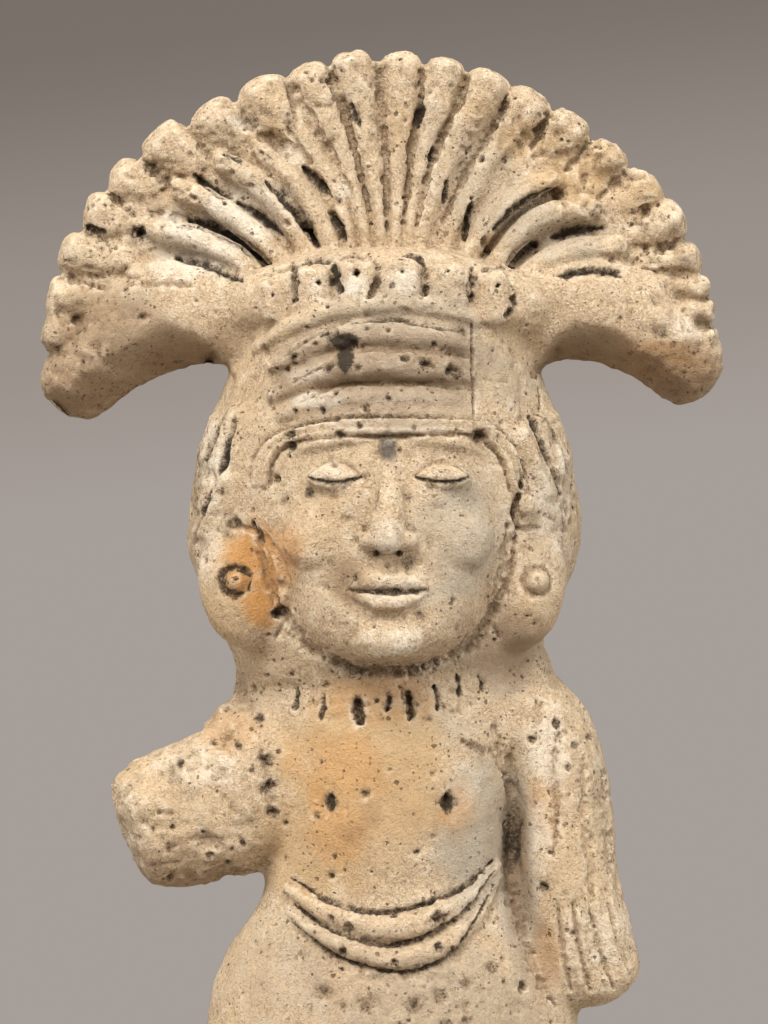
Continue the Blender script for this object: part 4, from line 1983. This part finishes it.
    def outward(self, spot: Vector) -> Vector:
        """Which way is out of the fan at a place."""
        centre = Vector((self.stature.face_x, spot.y, self.level - self.centre_drop))
        return (spot - centre).normalized()

    def turn(self, spot: Vector) -> float:
        """How far round the fan a place is, from straight up, as an angle."""
        up = spot.z - self.level + self.centre_drop
        return math.atan2(spot.x - self.stature.face_x, up)

    def plate(self) -> Blank:
        """The sheet behind the feathers, whose edge runs just inside their tips.

        Returns:
            The sheet, as a blank.
        """
        rim = []
        for track in (*self.feathers, *self.blocks):
            x, z, half = track[0]
            spot = Vector((x * MM, 0, z * MM))
            rim.append(spot + self.outward(spot) * (half * MM - min(self.notch, 0.5 * half * MM)))
        rim.sort(key=self.turn)
        outline = curve_through(rim, 110)
        deselect_all()
        bpy.ops.mesh.primitive_circle_add(vertices=len(outline), radius=1.0, fill_type="NGON")
        blank = bpy.context.object
        blank.name = "plate"
        front = self.setback - self.plate_depth
        for vertex, (x, _, z) in zip(blank.data.vertices, outline):
            vertex.co = (x, front, z)
        bpy.ops.object.mode_set(mode="EDIT")
        bpy.ops.mesh.select_all(action="SELECT")
        back = {"value": (0, 2 * self.plate_depth, 0)}
        bpy.ops.mesh.extrude_region_move(TRANSFORM_OT_translate=back)
        bpy.ops.mesh.select_all(action="SELECT")
        bpy.ops.mesh.normals_make_consistent(inside=False)
        bpy.ops.object.mode_set(mode="OBJECT")
        apply_modifier(blank, "BEVEL", width=2.0 * MM, segments=3, limit_method="ANGLE")
        return blank

    def details(self) -> list[Blank]:
        """The plate, the long feathers, the knuckled blocks round the rim and the inner ridges.

        Returns:
            The blanks, which are fused onto the masses.
        """
        made = [self.plate()]
        for i, track in enumerate((*self.feathers, *self.blocks)):
            long = len(track) > 2
            rows = (curve_through(track, 22) if long else np.linspace(track[0], track[1], 7)) * MM
            forward = self.setback - (0.2 + 0.35 * (i % 3)) * MM
            path = [Vector((x, forward, z)) for x, z, _ in rows]
            half = rows[0][2]
            path[0] = path[0] + self.outward(path[0]) * (0.28 * half)
            foot = 0.38 if long else 0.36
            depths = tapered(0.47 * self.thickness, foot * self.thickness, len(path))
            made.append(limb("feather", path, list(rows[:, 2]), depths, 28, 0.72, 2.5))
        for track in self.ridges:
            rows = curve_through(track, 18) * MM
            path = [Vector((x, self.setback - 0.40 * self.thickness, z)) for x, z, _ in rows]
            sizes = list(0.94 * rows[:, 2])
            made.append(limb("ridge", path, sizes, [1.25 * size for size in sizes]))
        return made

    def carve(self, skin: Skin) -> None:
        """The deep slots, the lesser lines, the bubbles, the crumbling zone and the stains.

        Args:
            skin: The skin of the whole stone.
        """
        skin.stain(self.stains)
        for track, width, depth in self.slots:
            line = curve_through(track, 13) if len(track) > 1 else track
            skin.groove(line, 0.90 * width, 0.62 * depth, dirt=0.95, ragged=0.6)
            if len(track) > 2:
                skin.groove(line, 1.9 * width, 0.5, dirt=0.05, ragged=0.3)
        for track, width, depth, dirt in self.scores:
            skin.groove(curve_through(track, 13), width, depth, dirt=0.6 * dirt, ragged=0.9)
        skin.drill(self.bubbles, 1.0, 0.9, 0.45, 0.5)
        self._plane_lobes(skin)
        self._part_tips(skin)
        crumbled = skin.zone(self.crumbling)
        skin.roughen(1.2, 0.26, 41, crumbled)
        skin.roughen(2.6, 0.50, 42, crumbled)
        skin.roughen(5.0, 0.60, 43, crumbled)
        skin.erode(2.0, 0.9, 44, crumbled, 0.55)
        knobbly = skin.zone(self.knobbly)
        skin.erode(1.7, 0.42, 57, knobbly, 0.62)
        skin.roughen(3.0, 0.40, 58, knobbly)

    def _plane_lobes(self, skin: Skin) -> None:
        """Planes the slope under each drooping end, which is rough and brown with dirt.

        Args:
            skin: The skin of the whole stone.
        """
        for edge, foot, dirt in zip(self.lobe_edges, self.lobe_feet, (0.42, 0.34)):
            share = skin.plane_off(edge, foot, -9.2, 1.0)
            under = smooth_step(share, -0.05, 0.80)
            skin.roughen(2.0, 0.36, 51, under)
            skin.erode(1.5, 0.45, 52, under, 0.48)
            skin.mark(Mark.UMBER, 0.72 * under)
            band = under * (1 - smooth_step(share, 0.45, 0.90))
            skin.mark(Mark.DIRT, dirt * band)

    def _part_tips(self, skin: Skin) -> None:
        """Cuts uneven creases between the tips, and wears the whole rim.

        Args:
            skin: The skin of the whole stone.
        """
        fronts = (*self.feathers, *self.blocks)
        tips = [Vector((track[0][0], 0, track[0][1])) * MM for track in fronts]
        tips.sort(key=self.turn)
        pick = np.random.default_rng(9)
        for first, second in pairwise(tips):
            if (second - first).length < 6.5 * MM:
                continue
            spot = mix(first, second, 0.5)
            out = self.outward(spot)
            ends = [spot + out * (reach * MM) for reach in (2.5, -1.5, -5.5)]
            line = [(end.x / MM, end.z / MM) for end in ends]
            width = (second - first).length / MM * pick.uniform(0.08, 0.12)
            skin.groove(line, width, 0.9 * width, dirt=pick.uniform(0.20, 0.60), ragged=1.0)
        x, _, z = skin.points.T
        away = np.hypot(x - self.stature.face_x, z - self.level + self.centre_drop)
        rim = smooth_step(away, 46 * MM, 54 * MM) * smooth_step(z, 176 * MM, 184 * MM)
        skin.roughen(5.0, 0.45, 53, rim)
        skin.roughen(2.4, 0.20, 54, rim)
        skin.erode(2.6, 0.28, 55, rim, 0.28)
        skin.erode(1.4, 0.30, 56, rim, 0.48)


# Finishes


class NodeSheet:
    """A node tree with short calls for the nodes that the finishes use."""

    def __init__(self, tree: bpy.types.NodeTree) -> None:
        """Keeps the tree and its object coordinates."""
        self.tree = tree
        self.place = tree.nodes.new("ShaderNodeTexCoord").outputs["Object"]

    def feed(self, socket: Socket, value: object) -> None:
        """Links a socket to another one, or sets it.

        Args:
            socket: The socket that takes the value.
            value: Another socket, a number or a colour.
        """
        if isinstance(value, Socket):
            self.tree.links.new(value, socket)
        elif isinstance(value, tuple) and len(socket.default_value) == 4:
            socket.default_value = (*value, 1.0)
        else:
            socket.default_value = value

    def noise(
        self, scale: float, detail: float = 3.0, rough: float = 0.55, curl: float = 0.0
    ) -> Socket:
        """Noise over the piece.

        Args:
            scale: How many lumps there are to the metre.
            detail: How many times finer lumps are laid over the first ones.
            rough: How strong the finer ones are.
            curl: How far the lumps are bent.

        Returns:
            The noise, mostly from 0.3 to 0.7.
        """
        node = self.tree.nodes.new("ShaderNodeTexNoise")
        self.feed(node.inputs["Vector"], self.place)
        names = ("Scale", "Detail", "Roughness", "Distortion")
        for name, value in zip(names, (scale, detail, rough, curl)):
            self.feed(node.inputs[name], value)
        return node.outputs["Fac"]

    def layer(self, mark: Mark) -> Socket:
        """What the carving left on one of the skin's layers.

        Args:
            mark: The layer.

        Returns:
            Its value, from 0 to 1.
        """
        node = self.tree.nodes.new("ShaderNodeAttribute")
        node.attribute_name = mark.value
        return node.outputs["Fac"]

    def sum(self, operation: str, first: object, second: object) -> Socket:
        """One sum of two numbers.

        Args:
            operation: The kind of sum, such as ADD or MULTIPLY.
            first: A socket or a number.
            second: Another one.

        Returns:
            The result.
        """
        node = self.tree.nodes.new("ShaderNodeMath")
        node.operation = operation
        self.feed(node.inputs[0], first)
        self.feed(node.inputs[1], second)
        return node.outputs[0]

    def step(
        self, value: Socket, start: float, end: float, low: float = 0.0, high: float = 1.0
    ) -> Socket:
        """A soft change along a value.

        Args:
            value: What it follows.
            start: Where it starts.
            end: Where it ends.
            low: Its result up to the start.
            high: Its result from the end on.

        Returns:
            The result.
        """
        node = self.tree.nodes.new("ShaderNodeMapRange")
        node.interpolation_type = "SMOOTHSTEP"
        names = ("Value", "From Min", "From Max", "To Min", "To Max")
        for name, setting in zip(names, (value, start, end, low, high)):
            self.feed(node.inputs[name], setting)
        return node.outputs["Result"]

    def blend(self, share: object, first: object, second: object, kind: str = "MIX") -> Socket:
        """Lays one colour over another.

        Args:
            share: How much of the second one shows, from 0 to 1.
            first: The colour below, or a socket.
            second: The colour on top, or a socket.
            kind: The way in which they are blended.

        Returns:
            The blended colour.
        """
        node = self.tree.nodes.new("ShaderNodeMix")
        node.data_type = "RGBA"
        node.blend_type = kind
        self.feed(node.inputs["Factor"], share)
        self.feed(node.inputs[6], first)
        self.feed(node.inputs[7], second)
        return node.outputs[2]

    def shaken(self, scale: float, reach: float) -> Socket:
        """The object's coordinates, shaken by noise.

        Args:
            scale: How many lumps the noise has to the metre.
            reach: How far it moves a place, in metres.

        Returns:
            The shaken coordinates.
        """
        noise = self.tree.nodes.new("ShaderNodeTexNoise")
        self.feed(noise.inputs["Vector"], self.place)
        self.feed(noise.inputs["Scale"], scale)
        shift = self.tree.nodes.new("ShaderNodeVectorMath")
        shift.operation = "MULTIPLY_ADD"
        self.tree.links.new(noise.outputs["Color"], shift.inputs[0])
        shift.inputs[1].default_value = (reach,) * 3
        self.tree.links.new(self.place, shift.inputs[2])
        return shift.outputs[0]

    def pores(self, place: Socket, scale: float, radius: float, chosen: float) -> Socket:
        """Uneven pores.

        Args:
            place: The coordinates to read them at.
            scale: How many could stand along one metre.
            radius: Their radius as a share of their spacing.
            chosen: The share of the places that stays empty.

        Returns:
            1 inside a pore and 0 outside.
        """
        node = self.tree.nodes.new("ShaderNodeTexVoronoi")
        self.feed(node.inputs["Vector"], place)
        self.feed(node.inputs["Scale"], scale)
        split = self.tree.nodes.new("ShaderNodeSeparateColor")
        self.tree.links.new(node.outputs["Color"], split.inputs["Color"])
        there = self.step(split.outputs["Red"], chosen, chosen + 0.02)
        size = self.sum("MULTIPLY_ADD", split.outputs["Green"], 0.6 * radius)
        self.feed(size.node.inputs[2], 0.55 * radius)
        ratio = self.sum("DIVIDE", node.outputs["Distance"], size)
        inside = self.step(ratio, 0.75, 1.15, 1.0, 0.0)
        return self.sum("MULTIPLY", inside, there)


@dataclass(frozen=True)
class StoneFinish:
    """Worn, porous pale limestone with dirt in its creases and old stains."""

    cream: Colour = (0.650, 0.495, 0.325)
    buff: Colour = (0.540, 0.400, 0.255)
    pale: Colour = (0.820, 0.695, 0.525)
    chalk: Colour = (0.860, 0.780, 0.650)
    ash: Colour = (0.430, 0.385, 0.310)
    ochre: Colour = (0.560, 0.370, 0.180)
    rust: Colour = (0.580, 0.280, 0.080)
    umber: Colour = (0.250, 0.150, 0.075)
    soot: Colour = (0.060, 0.052, 0.046)
    grime: Colour = (0.035, 0.026, 0.018)
    film: Colour = (0.250, 0.170, 0.100)
    speck: Colour = (0.110, 0.065, 0.032)

    def material(self) -> bpy.types.Material:
        """The finish as a material.

        Returns:
            The material.
        """
        material = bpy.data.materials.new("worn limestone")
        material.use_nodes = True
        sheet = NodeSheet(material.node_tree)
        shader = material.node_tree.nodes["Principled BSDF"]
        mottle = sheet.noise(260, 5, 0.66)
        grain = sheet.noise(1500, 3, 0.62, 1.2)
        shaken = sheet.shaken(1300, 0.0009)
        large, small = sheet.pores(shaken, 560, 0.24, 0.76), sheet.pores(shaken, 1150, 0.30, 0.78)
        crowds = sheet.step(sheet.noise(110, 3, 0.6), 0.42, 0.58, 0.25, 1.0)
        pores = sheet.sum("MULTIPLY", sheet.sum("MAXIMUM", large, small), crowds)
        colour = self._stone(sheet, mottle, grain)
        colour = self._stains(sheet, colour, mottle, grain)
        colour = self._grime(sheet, colour, grain, pores)
        sheet.feed(shader.inputs["Base Color"], colour)
        sheet.feed(shader.inputs["Roughness"], sheet.step(mottle, 0.3, 0.7, 0.95, 0.84))
        shader.inputs["Specular IOR Level"].default_value = 0.25
        relief = sheet.sum("MULTIPLY", mottle, 0.85)
        relief = sheet.sum("ADD", relief, sheet.sum("MULTIPLY", grain, 0.50))
        relief = sheet.sum("SUBTRACT", relief, sheet.sum("MULTIPLY", pores, 0.30))
        bump = material.node_tree.nodes.new("ShaderNodeBump")
        bump.inputs["Distance"].default_value = MM
        bump.inputs["Strength"].default_value = 1.0
        sheet.feed(bump.inputs["Height"], relief)
        sheet.feed(shader.inputs["Normal"], bump.outputs["Normal"])
        return material

    def _stone(self, sheet: NodeSheet, mottle: Socket, grain: Socket) -> Socket:
        """The bare stone.

        Args:
            sheet: The material's nodes.
            mottle: The noise of its mottling.
            grain: The noise of its grain.

        Returns:
            Its colour, with clouds, mottling and grain.
        """
        cloud = sheet.step(sheet.noise(48, 3, 0.6), 0.35, 0.65)
        colour = sheet.blend(cloud, self.buff, self.cream)
        colour = sheet.blend(sheet.step(mottle, 0.50, 0.70, 0.0, 0.70), colour, self.pale)
        colour = sheet.blend(sheet.step(mottle, 0.46, 0.30, 0.0, 0.40), colour, self.film)
        colour = sheet.blend(sheet.step(grain, 0.53, 0.66, 0.0, 0.55), colour, self.pale)
        return sheet.blend(sheet.step(grain, 0.49, 0.34, 0.0, 0.62), colour, self.film)

    def _stains(self, sheet: NodeSheet, colour: Socket, mottle: Socket, grain: Socket) -> Socket:
        """The stains that lie in patches.

        Args:
            sheet: The material's nodes.
            colour: The bare stone.
            mottle: The noise of its mottling, which breaks up a patch's edge.
            grain: The noise of its grain, which breaks it up finer.

        Returns:
            The stained colour.
        """
        parts = (sheet.sum("MULTIPLY", mottle, 1.1), sheet.sum("MULTIPLY", grain, 0.7))
        loose = sheet.sum("SUBTRACT", sheet.sum("ADD", *parts), 0.9)
        stains = (
            (Mark.ASH, self.ash, 0.85, 0.5),
            (Mark.OCHRE, self.ochre, 0.75, 0.5),
            (Mark.RUST, self.rust, 0.86, 0.25),
            (Mark.CHALK, self.chalk, 0.90, 1.1),
            (Mark.UMBER, self.umber, 0.85, 0.9),
            (Mark.SOOT, self.soot, 0.95, 1.2),
        )
        for mark, stain, most, broken in stains:
            there = sheet.layer(mark)
            share = sheet.sum("ADD", there, sheet.sum("MULTIPLY", loose, broken))
            share = sheet.step(share, 0.0, 1.0, 0.0, most)
            share = sheet.sum("MULTIPLY", share, sheet.step(there, 0.0, 0.18))
            colour = sheet.blend(share, colour, stain)
        return colour

    def _grime(self, sheet: NodeSheet, colour: Socket, grain: Socket, pores: Socket) -> Socket:
        """The pale worn edges, the film in the hollows, the dirt in the creases and the pores.

        Args:
            sheet: The material's nodes.
            colour: The stained stone.
            grain: The noise of its grain.
            pores: Where its pores are.

        Returns:
            The finished colour.
        """
        rubbed = sheet.step(sheet.noise(420, 4, 0.7), 0.36, 0.58)
        worn = sheet.sum("MULTIPLY", sheet.layer(Mark.WORN), rubbed)
        colour = sheet.blend(sheet.sum("MULTIPLY", worn, 0.70), colour, self.pale)
        thin = sheet.step(grain, 0.34, 0.62, 0.85, 0.30)
        hollow = sheet.sum("MULTIPLY", sheet.layer(Mark.HOLLOW), thin)
        colour = sheet.blend(hollow, colour, self.film)
        crumb = sheet.sum("SUBTRACT", sheet.noise(900, 4, 0.75, 0.8), 0.5)
        crumb = sheet.sum("MULTIPLY", crumb, 2.0)
        layer = sheet.layer(Mark.DIRT)
        halo = sheet.sum("MULTIPLY", sheet.step(layer, 0.0, 0.9), 0.55)
        colour = sheet.blend(halo, colour, self.film)
        dirt = sheet.step(sheet.sum("ADD", layer, crumb), 0.32, 0.95, 0.0, 0.94)
        dirt = sheet.sum("MULTIPLY", dirt, sheet.step(layer, 0.02, 0.25))
        colour = sheet.blend(dirt, colour, self.grime)
        return sheet.blend(sheet.sum("MULTIPLY", pores, 0.80), colour, self.speck)


@dataclass(frozen=True)
class FloorFinish:
    """A matt pale studio floor that fades out at its edge."""

    paint: Colour = (0.440, 0.405, 0.380)
    fade_start: float = 0.30
    fade_end: float = 0.60

    def material(self) -> bpy.types.Material:
        """The finish as a material.

        Returns:
            The material.
        """
        material = bpy.data.materials.new("pale floor")
        material.use_nodes = True
        tree = material.node_tree
        sheet = NodeSheet(tree)
        shader = tree.nodes["Principled BSDF"]
        shader.inputs["Roughness"].default_value = 0.9
        tone = sheet.step(sheet.noise(9, 3, 0.5), 0.3, 0.7, 0.97, 1.0)
        sheet.feed(shader.inputs["Base Color"], sheet.blend(1.0, self.paint, tone, "MULTIPLY"))
        reach = tree.nodes.new("ShaderNodeVectorMath")
        reach.operation = "LENGTH"
        sheet.feed(reach.inputs[0], sheet.place)
        there = sheet.step(reach.outputs["Value"], self.fade_start, self.fade_end, 1.0, 0.0)
        sheet.feed(shader.inputs["Alpha"], there)
        return material


# The whole figure, and the studio


@dataclass
class Figurine:
    """The whole stone: its sub-assemblies fused, carved, worn, thinned and finished."""

    stature: Stature = field(default_factory=Stature)
    mass_voxel: float = 0.9 * MM
    mass_passes: int = 20
    skin_voxel: float = 0.38 * MM
    skin_passes: int = 4
    most_triangles: int = 194000
    stray_pits: int = 700
    seed: int = 5

    def __post_init__(self) -> None:
        """Sets out the sub-assemblies."""
        self.lower = LowerBody(self.stature)
        self.trunk = Trunk(self.stature, self.lower)
        self.stump = BrokenArm(self.stature)
        self.arm = HangingArm(self.stature)
        self.head = Head(self.stature)
        self.discs = EarDiscs(self.stature, self.head)
        self.band = Headband(self.stature, self.head)
        self.face = CalmFace(self.stature, self.head)
        self.tabs = TabRow(self.stature)
        self.fan = FanHeaddress(self.stature)

    def build(self) -> Blank:
        """Makes the stone.

        Returns:
            The finished piece, with its place in its mesh.
        """
        body = (self.lower, self.trunk, self.stump, self.arm, self.head, self.discs)
        masses = [blank for form in (*body, self.fan, self.tabs) for blank in form.masses()]
        log.info("roughed out %d masses", len(masses))
        rough = fuse("masses", masses, self.mass_voxel, self.mass_passes)
        fine = (self.lower, self.discs, self.band, self.face, self.tabs, self.fan, self.trunk)
        details = [blank for form in fine for blank in form.details()]
        log.info("laid %d finer forms on them", len(details))
        stone = fuse("stone_figurine", [rough, *details], self.skin_voxel, self.skin_passes)
        keep_outer_skin(stone)
        self._carve(stone, (*body, self.band, self.face, self.tabs, self.fan))
        share = self.most_triangles / (2 * len(stone.data.polygons))
        apply_modifier(stone, "DECIMATE", ratio=share)
        log.info("thinned to %d triangles", len(stone.data.polygons))
        cut_flat(stone)
        stone.data.materials.clear()
        stone.data.materials.append(StoneFinish().material())
        stone.data.shade_smooth()
        return stone

    def _carve(self, stone: Blank, forms: Sequence[Form]) -> None:
        """Carves and wears the fused skin.

        Args:
            stone: The fused stone.
            forms: The sub-assemblies, in the order in which they are carved.
        """
        skin = Skin(stone)
        log.info("the skin has %d points", len(skin.points))
        for form in forms:
            form.carve(skin)
        self._scatter_pits(skin)
        skin.roughen(9.0, 0.30, 11)
        front = 1 - smooth_step(skin.normals[:, 1], 0.0, 0.6)
        skin.roughen(3.2, 0.17, 12, 0.4 + 0.6 * front)
        skin.roughen(1.4, 0.10, 13, front)
        skin.write()
        skin.read_hollows()
        skin.store_marks()

    def _scatter_pits(self, skin: Skin) -> None:
        """Opens bubbles of the stone all over the skin, in crowds.

        Args:
            skin: The skin of the whole stone.
        """
        tree = KDTree(len(skin.points))
        for index, point in enumerate(skin.points):
            tree.insert(point, index)
        tree.balance()
        pick = np.random.default_rng(self.seed)
        crowd = 0.35 + 0.65 * (lattice_noise(skin.points, 22 * MM, 8) > 0.05)
        crowd *= 1 - 0.8 * smooth_step(skin.normals[:, 1], 0.0, 0.6)
        odds = crowd / crowd.sum()
        chosen = pick.choice(len(skin.points), self.stray_pits, replace=False, p=odds)
        for index in chosen:
            radius = MM * pick.uniform(0.35, 0.65) * (1.8 if pick.random() < 0.10 else 1.0)
            depth = radius * pick.uniform(0.6, 1.1)
            skin.pit(Vector(skin.points[index]), radius, depth, pick.uniform(0.3, 0.9), tree)


@dataclass(frozen=True)
class Lamp:
    """A square soft light that looks at the figure."""

    name: str
    place: Triple
    size: float
    power: float
    colour: Colour


@dataclass
class Studio:
    """The floor, the soft lights, the grey surround and the camera.

    tones are the surround's colours by level, tilt changes the level across, and behind dims the
    surround except behind the figure, both as Studio._range takes them.
    """

    target: Vector = field(default_factory=lambda: Vector((0, 0, 130 * MM)))
    eye: Vector = field(default_factory=lambda: Vector((0.5 * MM, -1200 * MM, 155.6 * MM)))
    lens: float = 210.9
    tones: Sequence[tuple[float, Colour]] = (
        (0.0, (0.385, 0.345, 0.318)),
        (0.036, (0.325, 0.285, 0.255)),
        (0.088, (0.188, 0.164, 0.143)),
        (0.35, (0.150, 0.146, 0.142)),
    )
    tilt: Sequence[float] = (-0.07, 0.07, 0.008, -0.008)
    behind: Sequence[float] = (0.90, 0.98, 0.35, 1.0)
    floor_radius: float = 0.62
    lamps: Sequence[Lamp] = (
        Lamp("key", (-0.28, -1.00, 1.28), 0.80, 30.5, (1.0, 0.965, 0.915)),
        Lamp("left", (-1.30, -0.70, 0.70), 0.70, 9.0, (1.0, 0.97, 0.93)),
        Lamp("right", (1.30, -0.70, 0.70), 0.70, 15.0, (1.0, 0.985, 0.96)),
        Lamp("top", (-0.10, 0.30, 1.30), 0.70, 7.0, (1.0, 0.98, 0.95)),
    )

    def build(self) -> None:
        """Sets up the whole studio."""
        self._floor()
        self._surround()
        for lamp in self.lamps:
            self._light(lamp)
        self._camera()
        bpy.context.scene.view_settings.view_transform = "Standard"

    def _floor(self) -> None:
        """A disc of floor under the figure."""
        deselect_all()
        bpy.ops.mesh.primitive_circle_add(vertices=128, radius=self.floor_radius, fill_type="NGON")
        floor = bpy.context.object
        floor.name = "floor"
        floor.data.materials.append(FloorFinish().material())

    def _surround(self) -> None:
        """A grey surround, darker above the horizon and dim except behind the figure."""
        world = bpy.data.worlds.new("surround")
        world.use_nodes = True
        bpy.context.scene.world = world
        tree = world.node_tree
        split = tree.nodes.new("ShaderNodeSeparateXYZ")
        tree.links.new(tree.nodes.new("ShaderNodeTexCoord").outputs["Generated"], split.inputs[0])
        tilt = self._range(tree, split.outputs["X"], self.tilt)
        level = tree.nodes.new("ShaderNodeMath")
        tree.links.new(split.outputs["Z"], level.inputs[0])
        tree.links.new(tilt.outputs["Result"], level.inputs[1])
        ramp = tree.nodes.new("ShaderNodeValToRGB")
        tree.links.new(level.outputs[0], ramp.inputs["Fac"])
        ramp.color_ramp.interpolation = "EASE"
        while len(ramp.color_ramp.elements) < len(self.tones):
            ramp.color_ramp.elements.new(0.5)
        for element, (place, tone) in zip(ramp.color_ramp.elements, self.tones):
            element.position = place
            element.color = (*tone, 1.0)
        behind = self._range(tree, split.outputs["Y"], self.behind)
        behind.interpolation_type = "SMOOTHSTEP"
        tree.links.new(ramp.outputs["Color"], tree.nodes["Background"].inputs["Color"])
        tree.links.new(behind.outputs["Result"], tree.nodes["Background"].inputs["Strength"])

    @staticmethod
    def _range(tree: bpy.types.NodeTree, value: Socket, ends: Sequence[float]) -> bpy.types.Node:
        """A change along a value.

        Args:
            tree: The surround's nodes.
            value: What it follows.
            ends: Where it starts and ends, and its results there.

        Returns:
            The node.
        """
        node = tree.nodes.new("ShaderNodeMapRange")
        tree.links.new(value, node.inputs["Value"])
        for name, end in zip(("From Min", "From Max", "To Min", "To Max"), ends):
            node.inputs[name].default_value = end
        return node

    def _light(self, lamp: Lamp) -> None:
        """Hangs one lamp.

        Args:
            lamp: Its place, size, power and colour.
        """
        data = bpy.data.lights.new(lamp.name, "AREA")
        data.size, data.energy, data.color = lamp.size, lamp.power, lamp.colour
        light = bpy.data.objects.new(lamp.name, data)
        light.location = lamp.place
        aim = self.target - Vector(lamp.place)
        light.rotation_euler = aim.to_track_quat("-Z", "Y").to_euler()
        bpy.context.scene.collection.objects.link(light)

    def _camera(self) -> None:
        """A long lens straight in front of the head."""
        data = bpy.data.cameras.new("camera")
        data.lens = self.lens
        data.sensor_width = 36.0
        data.clip_start = 0.05
        camera = bpy.data.objects.new("camera", data)
        camera.location = self.eye
        camera.rotation_euler = (math.radians(90), 0, 0)
        bpy.context.scene.collection.objects.link(camera)
        bpy.context.scene.camera = camera


def main() -> None:
    """Builds the studio and the figurine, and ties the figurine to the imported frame."""
    logging.basicConfig(level=logging.INFO, format="%(name)s: %(message)s")
    Studio().build()
    log.info("the studio stands")
    stone = Figurine().build()
    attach(stone, "root")
    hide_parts("figurine")
    log.info("piece %s rides on root", stone.name)


if __name__ == "__main__":
    main()
